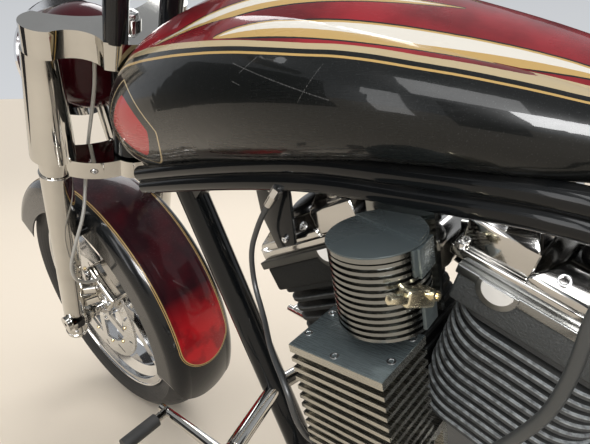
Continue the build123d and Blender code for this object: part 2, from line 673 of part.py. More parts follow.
plate_inner = SWINGARM_SPREAD - 14
axle_plate = extrude(Plane(origin=(0, plate_inner, 0), x_dir=(1, 0, 0), z_dir=(0, -1, 0)) * make_face([
    Line((-WHEELBASE + 62, REAR_AXLE_Z - 26), (-WHEELBASE + 62, REAR_AXLE_Z + 18)),
    Line((-WHEELBASE + 62, REAR_AXLE_Z + 18), (-WHEELBASE + 26, REAR_AXLE_Z + 58)),
    Line((-WHEELBASE + 26, REAR_AXLE_Z + 58), (-WHEELBASE - 20, REAR_AXLE_Z + 30)),
    ThreePointArc((-WHEELBASE - 20, REAR_AXLE_Z + 30), (-WHEELBASE - 36, REAR_AXLE_Z), (-WHEELBASE - 20, REAR_AXLE_Z - 30)),
    Line((-WHEELBASE - 20, REAR_AXLE_Z - 30), (-WHEELBASE + 62, REAR_AXLE_Z - 26)),
]), -10)
rear_axle_bar = Pos(-WHEELBASE, 0, REAR_AXLE_Z) * Rot(X=90) * Cylinder(REAR_AXLE_RADIUS, 2 * (plate_inner + 16))
lower_arm = bent_tube([
    (POST_X, 124, PIVOT_TUBE_Z), (POST_X - 72, SWINGARM_SPREAD, PIVOT_TUBE_Z + 2),
    (-WHEELBASE + 30, SWINGARM_SPREAD, REAR_AXLE_Z - 2)], SWINGARM_RADIUS)
swing_side = (lower_arm + axle_plate) - rear_axle_bar - posts
upper_stay = bar((-WHEELBASE + 24, SWINGARM_SPREAD, REAR_AXLE_Z + 42), (-1474, REAR_FENDER_HALF_WIDTH + 26, 636), 12)

strut_inner = REAR_FENDER_HALF_WIDTH
STRUT_BEND_X = 60 - WHEELBASE
STRUT_END_X = -225 - WHEELBASE
strut = extrude(Plane(origin=(0, strut_inner, 0), x_dir=(1, 0, 0), z_dir=(0, -1, 0)) * make_face([
    ThreePointArc((-1440, 616), (-1424, 636), (-1440, 656)), Line((-1440, 656), (STRUT_BEND_X, 650)),
    ThreePointArc((STRUT_BEND_X, 650), (STRUT_BEND_X - 160, 618), (STRUT_END_X, 540)),
    ThreePointArc((STRUT_END_X, 540), (STRUT_END_X - 11, 526), (STRUT_END_X + 5, 520)),
    ThreePointArc((STRUT_END_X + 5, 520), (STRUT_BEND_X - 150, 590), (STRUT_BEND_X, 616)),
    Line((STRUT_BEND_X, 616), (-1440, 616))]), -11)
struts = pair(strut)
nodes["fender_struts"] = struts
swingarm = pair(swing_side + (upper_stay - strut))
nodes["rear_frame_tubes"] = swingarm


# Engine: crankcase, two finned cylinders with rocker boxes, and what is bolted to them


def bank(angle):
    """The place of one cylinder: the origin at the crankshaft and Z along the bore."""
    lean = radians(angle)
    return Plane(origin=(CRANK_X, 0, CRANK_Z), x_dir=(cos(lean), 0, -sin(lean)), z_dir=(sin(lean), 0, cos(lean)))


def slab(place, up, length, width, corner, thickness):
    """A flat plate with rounded corners, square to the bore."""
    return extrude(place * Pos(0, 0, up) * RectangleRounded(length, width, corner), thickness)


BANKS = {"front": CYLINDER_ANGLE, "rear": -CYLINDER_ANGLE}
FIN_START = DECK_HEIGHT + 8
HEAD_START = FIN_START + FIN_COUNT * FIN_PITCH
ROCKER_START = HEAD_START + HEAD_HEIGHT

case_core = Pos(CRANK_X, 0, CRANK_Z) * Rot(X=90) * Cylinder(CASE_RADIUS, 2 * CASE_HALF_WIDTH)
case = fillet(case_core.edges(), 8)
for angle in BANKS.values():
    case += bank(angle) * Pos(0, 0, DECK_HEIGHT / 2 + 20) * Box(140, 124, DECK_HEIGHT - 40)
case += Pos(CRANK_X - 128, 0, CRANK_Z - 4) * Box(100, 110, 150)
nodes["crankcase"] = case


def rocker_box(place):
    """A faceted rocker box: a base plate and two tapered storeys."""
    length, width = FIN_LENGTH + ROCKER_OVERHANG, FIN_WIDTH
    # Storeys, as (height at the foot, height at the top, inset at the foot, inset at the top)
    storeys = [(12, ROCKER_HEIGHT - 16, 30, 46), (ROCKER_HEIGHT - 16, ROCKER_HEIGHT, 46, 82)]
    box = slab(place, 0, length - 14, width - 12, 14, 12)
    for foot, top, foot_inset, top_inset in storeys:
        box += loft([place * Pos(0, 0, foot) * Rectangle(length - foot_inset, width - foot_inset - 4),
                     place * Pos(0, 0, top) * Rectangle(length - top_inset, width - top_inset - 4)])
    return box


rockers = []
for name, angle in BANKS.items():
    place = bank(angle)
    inner_side = 1 if name == "front" else -1
    spacer = Pos(CRANK_X - inner_side * 500, 0, CRANK_Z) * Box(1000 + 6, 400, 1200)
    barrel = place * Pos(0, 0, (DECK_HEIGHT + HEAD_START) / 2) * Cylinder(BARREL_RADIUS, HEAD_START - DECK_HEIGHT)
    for index in range(FIN_COUNT):
        barrel += slab(place, FIN_START + index * FIN_PITCH, FIN_LENGTH, FIN_WIDTH, FIN_CORNER, FIN_THICKNESS)
    head = slab(place, HEAD_START, FIN_LENGTH - 6, FIN_WIDTH - 4, 34, FIN_THICKNESS * 2)
    head += slab(place, HEAD_START + 10, FIN_LENGTH - 34, FIN_WIDTH - 30, 26, HEAD_HEIGHT - 20)
    head += slab(place, HEAD_START + HEAD_HEIGHT / 2 - 3, FIN_LENGTH - 10, FIN_WIDTH - 10, 34, FIN_THICKNESS)
    head += slab(place, ROCKER_START - 10, FIN_LENGTH - 4, FIN_WIDTH + 2, 22, 10)
    port = place * Pos(inner_side * (FIN_LENGTH / 2 - 10), -26, HEAD_START + 24) * Rot(Y=90) * Cylinder(24, 24)
    lug = place * Pos(0, -(FIN_WIDTH / 2 + 9), ROCKER_START - 5) * Box(74, 38, 10)
    nodes[name + "_cylinder"] = barrel + head + port + lug - spacer - case
    rockers.append(rocker_box(place * Pos(-inner_side * ROCKER_OVERHANG / 2, 0, ROCKER_START)))
nodes["rocker_boxes"] = Compound(children=rockers)

# Right side: cam cover, pushrod tubes, intake and air cleaner
cam_plan = make_hull([*(Pos(CRANK_X, CRANK_Z) * Circle(72)).edges(), *(Pos(CRANK_X, CRANK_Z + 96) * Circle(44)).edges()])
RIGHT = Plane(origin=(0, -CASE_HALF_WIDTH, 0), x_dir=(1, 0, 0), z_dir=(0, -1, 0))
cam_cover = extrude(RIGHT * cam_plan, 30)
cam_cover = chamfer(cam_cover.faces().sort_by(Axis.Y)[0].edges(), 8)
pushrod_left = FIN_WIDTH / 2 + 13
for name, angle in BANKS.items():
    place = bank(angle)
    cam_cover += place * Pos(0, -(CASE_HALF_WIDTH + 19), 118) * Box(64, 38, 20)
    for reach in (-20, 20):
        low = place.from_local_coords(Vector(reach * 0.8, -pushrod_left, 120))
        high = place.from_local_coords(Vector(reach, -pushrod_left, ROCKER_START - 10))
        cam_cover += bar(low, high, PUSHROD_RADIUS)
cylinders = nodes["front_cylinder"] + nodes["rear_cylinder"]
nodes["cam_cover"] = cam_cover - case - cylinders

intake = bar((CRANK_X, 20, INTAKE_Z), (CRANK_X, -104, INTAKE_Z), 23) + bar(
    (CRANK_X - 70, -26, INTAKE_Z), (CRANK_X + 70, -26, INTAKE_Z), 19)
cleaner = Pos(CRANK_X, -134, INTAKE_Z - 24) * Rot(X=90) * Cylinder(82, 60)
nodes["air_cleaner"] = intake + fillet(cleaner.edges(), 10) - cylinders - nodes["rocker_boxes"]

# Left side: primary cover, with its round clutch cover
LEFT = Plane(origin=(0, CASE_HALF_WIDTH, 0), x_dir=(1, 0, 0), z_dir=(0, -1, 0))
primary_plan = make_hull([*(Pos(CRANK_X, CRANK_Z - 6) * Circle(PRIMARY_FRONT_RADIUS)).edges(),
                          *(Pos(GEARBOX_X, CRANK_Z) * Circle(PRIMARY_REAR_RADIUS)).edges()])
primary = extrude(LEFT * primary_plan, -PRIMARY_DEPTH)
primary = fillet(primary.faces().sort_by(Axis.Y)[-1].edges(), 16)
derby = Pos(GEARBOX_X, CASE_HALF_WIDTH + PRIMARY_DEPTH + 5, CRANK_Z) * Rot(X=90) * Cylinder(74, 10)
nodes["primary_cover"] = primary + fillet(derby.faces().sort_by(Axis.Y)[-1].edges(), 5) - case

# Gearbox behind the crankcase, with the belt drive on its right
gearbox = fillet((Pos(GEARBOX_X + 6, -12, OUTPUT_Z) * Box(200, 168, 180)).edges().filter_by(Axis.Y), 30)
gearbox += bar((OUTPUT_X, -90, OUTPUT_Z), (OUTPUT_X, -BELT_INNER, OUTPUT_Z), 17)
gearbox += bar((OUTPUT_X, -BELT_INNER + 2, OUTPUT_Z), (OUTPUT_X, -BELT_INNER - BELT_WIDTH - 2, OUTPUT_Z),
               GEARBOX_PULLEY_RADIUS)
nodes["gearbox"] = gearbox - case - nodes["primary_cover"] - posts

mount_front = Pos(-917, 0, 132) * Box(64, 2 * CRADLE_SPREAD + 24, 12) + Pos(-917, 0, 160) * Box(60, 100, 46)
mount_rear = Pos(-1190, 0, 132) * Box(64, 2 * CRADLE_SPREAD + 24, 12) + Pos(-1190, 0, 175) * Box(60, 100, 74)
mounts = Compound(children=[mount_front - case, mount_rear - gearbox - case])
nodes["engine_mounts"] = mounts - cradles - nodes["primary_cover"]

# Finned drum and finned cooler on the left, with their brackets
drum_circle = Pos(DRUM_X, DRUM_Y) * Circle(DRUM_RADIUS)
drum_core = Pos(DRUM_X, DRUM_Y) * Circle(DRUM_RADIUS - 6)
flat_cut = Pos(DRUM_X, DRUM_Y - 40 - 60) * Rectangle(200, 120)
fin_pitch = (DRUM_TOP - DRUM_BOTTOM) / DRUM_FINS
drum = extrude(Plane.XY.offset(DRUM_BOTTOM) * (drum_core - flat_cut), DRUM_TOP - DRUM_BOTTOM)
for index in range(DRUM_FINS):
    drum += extrude(Plane.XY.offset(DRUM_BOTTOM + index * fin_pitch) * (drum_circle - flat_cut), fin_pitch * 0.5)
drum += extrude(Plane.XY.offset(DRUM_TOP - 2) * (drum_circle - flat_cut), 5)
drum_back = DRUM_Y - 40
drum_plate = Pos(DRUM_X, drum_back - 3, 692) * Box(76, 6, 124)
nodes["finned_drum"] = drum + drum_plate - rails - nodes["rocker_boxes"] - cylinders

cooler_mid_x = COOLER_FRONT - COOLER_LENGTH / 2
cooler_mid_y = COOLER_INNER + COOLER_DEPTH / 2
cooler_pitch = (COOLER_TOP - 9 - COOLER_BOTTOM) / COOLER_FINS
cooler = Pos(cooler_mid_x, cooler_mid_y, (COOLER_TOP + COOLER_BOTTOM) / 2) * Box(
    COOLER_LENGTH - 26, COOLER_DEPTH - 26, COOLER_TOP - COOLER_BOTTOM)
for index in range(COOLER_FINS):
    level = COOLER_BOTTOM + index * cooler_pitch
    cooler += extrude(Plane.XY.offset(level) * Pos(cooler_mid_x, cooler_mid_y) * Rectangle(
        COOLER_LENGTH, COOLER_DEPTH), COOLER_FIN_THICKNESS)
cooler += extrude(Plane.XY.offset(COOLER_TOP - 9) * Pos(cooler_mid_x, cooler_mid_y) * Rectangle(
    COOLER_LENGTH, COOLER_DEPTH), 9)
cooler_shelf = Pos(cooler_mid_x, (62 + COOLER_INNER + COOLER_DEPTH - 10) / 2, COOLER_BOTTOM - 6) * Box(
    70, COOLER_INNER + COOLER_DEPTH - 10 - 62, 12)
cooler_foot = Pos(cooler_mid_x, 67, COOLER_BOTTOM - 30) * Box(70, 10, 60)
nodes["finned_cooler"] = cooler + cooler_shelf + cooler_foot - case - cylinders

# Exhaust, two pipes on the right
front_port = bank(CYLINDER_ANGLE).from_local_coords(Vector(FIN_LENGTH / 2 + 2, -26, HEAD_START + 24))
rear_port = bank(-CYLINDER_ANGLE).from_local_coords(Vector(-(FIN_LENGTH / 2 + 2), -26, HEAD_START + 24))
front_out = bank(CYLINDER_ANGLE).x_dir
rear_out = -bank(-CYLINDER_ANGLE).x_dir
front_pipe = bent_tube([front_port, front_port + front_out * 60, (-640, -150, 420), (-720, EXHAUST_LEFT + 2, FRONT_PIPE_Z + 12),
                        (-900, EXHAUST_LEFT, FRONT_PIPE_Z), (-1880, EXHAUST_LEFT, FRONT_PIPE_Z + 4)],
                       EXHAUST_RADIUS, [30, 60, 90, 90])
rear_pipe = bent_tube([rear_port, rear_port + rear_out * 50, (-1196, -150, 470), (-1250, EXHAUST_LEFT + 2, 330),
                       (-1400, EXHAUST_LEFT, REAR_PIPE_Z), (-1900, EXHAUST_LEFT, REAR_PIPE_Z)],
                      EXHAUST_RADIUS, [24, 50, 60, 60])
hanger_y = EXHAUST_LEFT + EXHAUST_RADIUS
pipe_hanger = Pos(POST_X - 30, hanger_y, (FRONT_PIPE_Z + REAR_PIPE_Z) / 2) * Box(30, 8, 110)
pipe_hanger += bar((POST_X - 8, -CRADLE_SPREAD, 200), (POST_X - 30, hanger_y, 200), 9)
nodes["front_exhaust"] = front_pipe - cylinders
nodes["rear_exhaust"] = rear_pipe + (pipe_hanger - front_pipe - posts) - cylinders - swingarm


# Tank and seat: bodies drawn through a few rounded sections

def body_section(x, bottom, top, half_width, foot=0.66, shoulder=0.62, drop=0.17):
    """A rounded section standing square to the machine, flat below."""
    tall = top - bottom
    low = (half_width * foot, bottom)
    wide = (half_width, bottom + tall * 0.44)
    high = (half_width * shoulder, top - tall * drop)

    def other(point):
        return -point[0], point[1]

    plane = Plane(origin=(x, 0, 0), x_dir=(0, 1, 0), z_dir=(1, 0, 0))
    return plane * make_face([
        Line(other(low), low), ThreePointArc(low, wide, high), ThreePointArc(high, (0, top), other(high)),
        ThreePointArc(other(high), other(wide), other(low))])


# Fuel tank stations, as (x, bottom, top, half width)
TANK_STATIONS = [(-388, 786, 852, 46), (-420, 750, 886, 88), (-478, 737, 918, 120), (-580, 752, 944, 140),
                 (-720, 770, 960, 150), (-880, 783, 932, 147), (-1010, 779, 884, 124), (-1100, 770, 842, 92),
                 (-1158, 756, 806, 56)]
tank = loft([body_section(*station) for station in TANK_STATIONS])
stem_room = fork_level(700) * Pos(0, 0, 200) * Cylinder(NECK_RADIUS + 6, 400)
clamp_room = fork_level(TOP_CLAMP_UNDERSIDE - 8) * Pos(0, 0, 60) * Cylinder(96, 120)
tank = tank - stem_room - clamp_room - rails - neck_web - neck_bridge - down_tube
cap_place = Plane(origin=(-660, 0, 948), x_dir=(1, 0, 0.05), z_dir=(-0.05, 0, 1))
filler_cap = cap_place * Pos(0, 0, 8) * Cylinder(34, 24)
nodes["fuel_tank"] = tank - filler_cap
nodes["filler_cap"] = filler_cap

# Seat stations, as (x, bottom, top, half width)
SEAT_STATIONS = [(-1160, 752, 802, 84), (-1225, 716, 770, 128), (-1330, 672, 742, 152), (-1450, 662, 738, 146),
                 (-1540, 668, 734, 108)]
seat = loft([body_section(*station, foot=0.86, shoulder=0.7, drop=0.24) for station in SEAT_STATIONS])
nodes["seat"] = seat - rails - cross_tube - posts

oil_tank = fillet((Pos(-1300, 0, 520) * Box(150, 160, 236)).edges().filter_by(Axis.Y), 30)
wheel_room = rear_axle_place * Rot(X=90) * Cylinder(REAR_TYRE_RADIUS + 25, 400)
nodes["oil_tank"] = oil_tank - posts - nodes["seat"] - rails - wheel_room

# Rear wheel pulley and belt
wheel_hub_end = REAR_HUB_WIDTH / 2
hub_nose = REAR_HUB_RADIUS * 0.7
wheel_pulley = turned(profile([
    (-wheel_hub_end + 12, hub_nose), (-wheel_hub_end + 12, 52), (-BELT_INNER + 5, 52),
    (-BELT_INNER + 2, WHEEL_PULLEY_RADIUS), (-BELT_INNER - BELT_WIDTH - 2, WHEEL_PULLEY_RADIUS),
    (-BELT_INNER - BELT_WIDTH - 2, 90), (-BELT_INNER - 8, 62), (-BELT_INNER - 17, 30),
    (-BELT_INNER - 17, REAR_AXLE_RADIUS + 2), (-wheel_hub_end, REAR_AXLE_RADIUS + 2), (-wheel_hub_end, hub_nose)]))
for index in range(5):
    wheel_pulley -= Rot(Y=72 * index) * Pos(76, -BELT_INNER, 0) * Rot(X=90) * Cylinder(11, 60)
nodes["wheel_pulley"] = rear_axle_place * wheel_pulley


def belt_loop(grow):
    """The belt's side view round both pulleys, grown outwards by its thickness."""
    front = Pos(OUTPUT_X, OUTPUT_Z) * Circle(GEARBOX_PULLEY_RADIUS + grow)
    rear = Pos(-WHEELBASE, REAR_AXLE_Z) * Circle(WHEEL_PULLEY_RADIUS + SEAT_GAP + grow)
    return make_hull([*front.edges(), *rear.edges()])


BELT_PLANE = Plane(origin=(0, -BELT_INNER, 0), x_dir=(1, 0, 0), z_dir=(0, -1, 0))
nodes["drive_belt"] = extrude(BELT_PLANE * (belt_loop(BELT_THICKNESS) - belt_loop(0)), BELT_WIDTH)

# Brake calipers, each with a slot round its disc

def caliper(inner, outer, disc_middle, length):
    """A caliper drawn ahead of the axle with its slot open towards it."""
    body = Pos(CALIPER_DISTANCE, (inner + outer) / 2, 0) * Box(CALIPER_HEIGHT, outer - inner, length)
    slot_width = DISC_THICKNESS + 2 * CALIPER_SLOT_GAP
    slot = Pos(CALIPER_DISTANCE - 12, disc_middle, 0) * Box(CALIPER_HEIGHT + 4, slot_width, length + 4)
    return fillet(body.edges(), 7) - slot


front_disc_y = FRONT_HUB_WIDTH / 2 - 12 + DISC_THICKNESS / 2
front_caliper = front_axle_place * Rot(Y=-138) * caliper(38, 88, front_disc_y, 104)
front_caliper_arm = bar((-86, 80, 408), (-34, LEG_SPREAD, 408), 13) + bar((-84, 80, 384), (-22, LEG_SPREAD, 366), 12)
front_caliper_arm = front_caliper_arm & (Pos(-50, 88, 390) * Box(120, 40, 120))
nodes["front_caliper"] = front_caliper + front_caliper_arm - legs
rear_disc_y = REAR_HUB_WIDTH / 2 - 12 + DISC_THICKNESS / 2
rear_caliper = rear_axle_place * Rot(Y=-24) * caliper(92, 138, rear_disc_y, 96)
hanger_end = (CALIPER_DISTANCE * cos(radians(24)), CALIPER_DISTANCE * sin(radians(24)))
hanger = make_hull([*Circle(30).edges(), *(Pos(hanger_end[0], -hanger_end[1]) * Circle(22)).edges()])
hanger = rear_axle_place * extrude(Plane(origin=(0, 137, 0), x_dir=(1, 0, 0), z_dir=(0, 1, 0)) * hanger, 10)
rear_axle = rear_axle_bar
for side, inner in ((1, wheel_hub_end + 4), (-1, BELT_INNER + BELT_WIDTH / 2 + 9)):
    spacer = Pos(-WHEELBASE, side * (inner + plate_inner) / 2, REAR_AXLE_Z) * Rot(X=90) * Cylinder(
        REAR_AXLE_RADIUS + 5, plate_inner - inner)
    nut = Pos(-WHEELBASE, side * (plate_inner + 16), REAR_AXLE_Z) * Rot(X=90) * Cylinder(REAR_AXLE_RADIUS + 8, 12)
    bore = Pos(-WHEELBASE, side * (plate_inner + 22), REAR_AXLE_Z) * Rot(X=90) * Cylinder(
        AXLE_BORE_RADIUS, 2 * AXLE_BORE_DEPTH)
    rear_axle = rear_axle + spacer + nut - bore
nodes["rear_axle"] = rear_axle - swingarm
nodes["rear_caliper"] = rear_caliper + hanger - rear_axle

# Hoses and cables that the machine holds all the way
hose_route = [on_fork(*point) for point in [
    (30, 46, TOP_CLAMP_UNDERSIDE), (34, 46, 965), (52, 45, 895), (75, 43, 820), (62, 62, 745), (20, 96, 695),
    (4, 128, 645), (-2, 148, 592), (-4, 140, 545), (2, 112, 512), (6, 84, 500)]]
brake_hose = bent_tube(hose_route, BRAKE_HOSE_RADIUS)
nodes["brake_hose"] = brake_hose - nodes["front_caliper"] - legs - nodes["top_clamp"]

cable_route = [Vector(*point) for point in [
    (-775, 104, 742), (-745, 112, 705), (-712, 112, 655), (-705, 114, 605), (-738, 136, 574), (-790, 178, 575), (-838, 206, 560),
    (-842, 207, 520), (-836, 190, 470), (-838, 150, 420), (-850, 116, 386)]]
clutch_cable = bent_tube(cable_route, CLUTCH_CABLE_RADIUS)

oil_route = [Vector(*point) for point in [
    (-1150, 104, 752), (-1128, 140, 752), (-1112, 160, 718), (-1103, 162, 668), (-1086, 161, 616), (-1052, 158, 562),
    (-1010, 150, 505), (-985, 138, 450), (-980, 112, 384)]]
oil_hose = bent_tube(oil_route, OIL_HOSE_RADIUS)
nodes["engine_hoses"] = Compound(children=[clutch_cable, oil_hose]) - nodes["primary_cover"] - rails

# Forward foot controls: bracket, footpeg and toe lever on each side
control_arm = bar((-548, 0, PEG_Z - 4), (PEG_X, PEG_LEFT, PEG_Z), 15)
peg_core = bar((PEG_X, PEG_LEFT - 4, PEG_Z), (PEG_X, PEG_LEFT + 40, PEG_Z + 2), 13)
lever_plate = bar((PEG_X, PEG_LEFT + 22, PEG_Z + 8), (-430, 176, 302), 11, 7)
toe_stub = bar((-446, 172, 300), (-452, 262, 304), 8)
control_half = (control_arm + peg_core + lever_plate + toe_stub - down_tube) & half_space
peg_rubber = bar((PEG_X, PEG_LEFT + 40, PEG_Z + 2), (PEG_X, PEG_LEFT + 40 + PEG_RUBBER_LENGTH, PEG_Z + 8),
                 PEG_RUBBER_RADIUS)
toe_rubber = bar((-449, 200, 301.3), (-452.7, 268, 304.4), 12)
controls = pair(control_half)
nodes["foot_controls"] = controls
nodes["peg_rubbers"] = pair(peg_rubber + toe_rubber) - controls

# Tail lamp and plain number plate
tail_angle = radians(146)
tail_plane = Plane(
    origin=(-WHEELBASE + REAR_FENDER_RADIUS * cos(tail_angle), 0, REAR_AXLE_Z + REAR_FENDER_RADIUS * sin(tail_angle)),
    x_dir=(sin(tail_angle), 0, -cos(tail_angle)), z_dir=(cos(tail_angle), 0, sin(tail_angle)))
tail_lamp = fillet((tail_plane * Pos(0, 0, 14) * Box(62, 110, 40)).edges(), 12)
above_fender = rear_axle_place * Rot(X=90) * Cylinder(REAR_FENDER_RADIUS, 400)
nodes["tail_lamp"] = tail_lamp - above_fender
plate_x = -WHEELBASE - REAR_FENDER_RADIUS - 30
plate_tilt = 10
plate = Pos(plate_x, 0, REAR_AXLE_Z + 64) * Rot(Y=plate_tilt) * Box(4, 182, 122)
plate_arm_up = 28
plate_arm_end = plate_x + plate_arm_up * tan(radians(plate_tilt))
plate_arm = bar((plate_x + 62, 0, REAR_AXLE_Z + 64 + plate_arm_up),
                (plate_arm_end, 0, REAR_AXLE_Z + 64 + plate_arm_up), 10)
nodes["number_plate"] = plate + (plate_arm - above_fender)

# Side stand: bracket and pin on the left cradle tube, and the leg that turns about the pin
pivot = Vector(STAND_PIVOT_X, STAND_PIVOT_Y, STAND_PIVOT_Z)
bracket_plate = Pos(STAND_PIVOT_X, (CRADLE_SPREAD + STAND_PIVOT_Y) / 2, STAND_PIVOT_Z + 26) * Box(
    60, STAND_PIVOT_Y - CRADLE_SPREAD + 30, 8)
bracket_web = Pos(STAND_PIVOT_X, CRADLE_SPREAD, STAND_PIVOT_Z + 16) * Box(60, 16, 20)
stand_pin = Pos(pivot) * Cylinder(STAND_PIN_RADIUS, 52) + Pos(pivot - Vector(0, 0, 25)) * Cylinder(STAND_PIN_RADIUS + 6, 6)
nodes["lower_cradle"] = Compound(children=[cradle + bracket_plate + bracket_web + stand_pin, mirrored(cradle)])

foot_bottom = ground_at(STAND_FOOT_Y)
ground_normal = Vector(0, -sin(radians(LEAN)), cos(radians(LEAN)))
foot_place = Plane(origin=(STAND_FOOT_X, STAND_FOOT_Y, foot_bottom), x_dir=(1, 0, 0), z_dir=ground_normal)
foot = foot_place * Pos(0, 0, 4) * Cylinder(26, 8)
boss = Pos(pivot) * Cylinder(STAND_PIN_RADIUS + 11, 40)
foot_top = Vector(STAND_FOOT_X, STAND_FOOT_Y, foot_bottom) + ground_normal * 12
stand_leg = bent_tube([pivot, Vector(STAND_PIVOT_X + 22, STAND_PIVOT_Y + 62, STAND_PIVOT_Z - 2), foot_top], STAND_LEG_RADIUS)
stand_bore = Pos(pivot) * Cylinder(STAND_PIN_RADIUS + RUNNING_FIT, 80)
nodes["side_stand"] = stand_leg + boss + foot + foot_place * Pos(0, 0, 12) * Sphere(STAND_LEG_RADIUS) - stand_bore

# Mirrors
mirror_foot = perch_start + bar_inward * 17 + Vector(0, 0, BAR_RADIUS + 6)
mirror_head = mirror_foot + Vector(20, 70, 120)
mirror_stem = bar(mirror_foot, mirror_head, 5)
mirror_disc = Plane(origin=mirror_head, x_dir=(0, 1, 0), z_dir=Vector(1, -0.25, 0.1)) * Cylinder(48, 14)
nodes["hand_levers"] = pair(levers_left + (mirror_stem + mirror_disc - handlebar))

# Lean the machine over its tyres, put its footprint's middle at the origin, and write the pieces
lean = Rot(X=-LEAN)
leaned = {name: lean * piece for name, piece in nodes.items()}
boxes = [piece.bounding_box(optimal=True) for piece in leaned.values()]
low = [min(getattr(box.min, axis) for box in boxes) for axis in "XYZ"]
high = [max(getattr(box.max, axis) for box in boxes) for axis in "XYZ"]
shift = Pos(-(low[0] + high[0]) / 2, -(low[1] + high[1]) / 2, -low[2])
print("machine", [round(b - a, 1) for a, b in zip(low, high)], "shift", shift.position)
for (name, piece), box in zip(leaned.items(), boxes):
    placed = shift * piece
    print(name, len(placed.solids()), round(placed.volume), [round(v) for v in placed.bounding_box().size])
    export_step(placed, "parts/" + name + ".step")
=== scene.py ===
import json
import logging
import math
from abc import ABC, abstractmethod
from contextlib import contextmanager
from dataclasses import dataclass, replace
from enum import Enum
from typing import Callable, ClassVar, Iterable, Iterator, Sequence

import bmesh
import bpy
from mathutils import Matrix, Quaternion, Vector

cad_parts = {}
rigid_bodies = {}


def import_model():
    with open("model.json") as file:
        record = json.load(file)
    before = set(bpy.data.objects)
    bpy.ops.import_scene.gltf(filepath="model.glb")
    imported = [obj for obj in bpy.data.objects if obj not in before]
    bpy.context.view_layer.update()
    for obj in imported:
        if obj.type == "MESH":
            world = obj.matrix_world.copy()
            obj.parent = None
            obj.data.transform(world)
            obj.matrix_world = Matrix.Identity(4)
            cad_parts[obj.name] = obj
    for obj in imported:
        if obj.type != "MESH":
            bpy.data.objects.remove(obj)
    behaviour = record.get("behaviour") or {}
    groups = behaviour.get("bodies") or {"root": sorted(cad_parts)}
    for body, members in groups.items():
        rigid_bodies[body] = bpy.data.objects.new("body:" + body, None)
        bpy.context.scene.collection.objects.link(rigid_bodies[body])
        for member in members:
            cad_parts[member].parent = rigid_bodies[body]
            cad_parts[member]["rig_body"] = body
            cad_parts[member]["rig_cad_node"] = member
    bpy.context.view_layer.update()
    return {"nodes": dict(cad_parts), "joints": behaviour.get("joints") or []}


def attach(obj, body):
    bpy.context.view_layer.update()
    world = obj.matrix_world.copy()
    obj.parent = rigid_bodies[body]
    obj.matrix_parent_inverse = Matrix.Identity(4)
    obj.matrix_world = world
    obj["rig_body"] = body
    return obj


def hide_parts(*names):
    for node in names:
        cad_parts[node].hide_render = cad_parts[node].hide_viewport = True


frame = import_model()

log = logging.getLogger("chopper")

Point = tuple[float, float, float]
Colour = tuple[float, float, float]
Spot = tuple[Sequence[float], Sequence[float]]
Socket = bpy.types.NodeSocket
Piece = bpy.types.Object

AHEAD, LEFT, UP = (1, 0, 0), (0, 1, 0), (0, 0, 1)
SIDES = (-1, 1)


class Body(str, Enum):
    """The machine's moving bodies."""

    CHASSIS = "chassis"
    FORK = "fork"
    FRONT_WHEEL = "front_wheel"
    REAR_WHEEL = "rear_wheel"


class Brush(Enum):
    """The way that the polishing marks run on a metal, as a stretch of each axis."""

    NONE = (1.0, 1.0, 1.0)
    ALONG = (0.04, 1.0, 1.0)


class Head(Enum):
    """The kinds of screw head, as (sides, height and end radius as shares of the radius)."""

    SOCKET = (20, 1.0, 1.0)
    HEXAGON = (6, 0.75, 1.0)
    DOME = (20, 0.75, 0.6)


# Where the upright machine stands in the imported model


@dataclass(frozen=True)
class Stance:
    """Places of the upright machine, its origin on the road under the front axle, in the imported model."""

    lean: float
    shift: Vector

    @classmethod
    def from_joints(cls, joints: Sequence[dict], axle_height: float) -> "Stance":
        """Read the lean and the shift from the front wheel's joint.

        Args:
            joints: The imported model's joints.
            axle_height: Height of the front axle above the road on the upright machine.

        Returns:
            The stance of the whole machine.
        """
        joint = next(j for j in joints if j["name"] == "front_wheel_spin")
        axis, place = Vector(joint["axis"]), Vector(joint["pos_m"])
        lean = math.atan2(-axis.z, axis.y)
        return cls(lean, place - Vector((0.0, axle_height * math.sin(lean), axle_height * math.cos(lean))))

    @property
    def matrix(self) -> Matrix:
        """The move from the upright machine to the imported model."""
        return Matrix.Translation(self.shift) @ Matrix.Rotation(-self.lean, 4, "X")

    @property
    def back(self) -> Matrix:
        """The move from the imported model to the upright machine."""
        return self.matrix.inverted()

    def place(self, point: Point) -> Vector:
        """A point of the upright machine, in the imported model."""
        return self.matrix @ Vector(point)


@dataclass(frozen=True)
class Machine:
    """Driving sizes of the machine, in metres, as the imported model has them."""

    front_axle: Point = (0.0, 0.0, 0.320)
    rear_axle: Point = (-1.760, 0.0, 0.3276)
    rake: float = math.radians(29.0)
    trail: float = 0.1196
    crank: Point = (-0.917, 0.0, 0.290)
    bank_angle: float = math.radians(22.5)

    def on_fork(self, ahead: float, left: float, up: float) -> Vector:
        """A point given by its distances ahead of the stem, to the left and up along it."""
        cos, sin = math.cos(self.rake), math.sin(self.rake)
        return Vector((self.trail + ahead * cos - up * sin, left, ahead * sin + up * cos))

    def fork_axes(self) -> tuple[Vector, Vector]:
        """The fork's own ahead and up directions."""
        cos, sin = math.cos(self.rake), math.sin(self.rake)
        return Vector((cos, 0.0, sin)), Vector((-sin, 0.0, cos))

    def bank(self, side: int) -> Matrix:
        """The place of one cylinder, 1 for the front and -1 for the rear, with Z along its bore."""
        return Matrix.Translation(self.crank) @ Matrix.Rotation(side * self.bank_angle, 4, "Y")


MACHINE = Machine()
STANCE = Stance.from_joints(frame["joints"], MACHINE.front_axle[2])


# Shader arithmetic


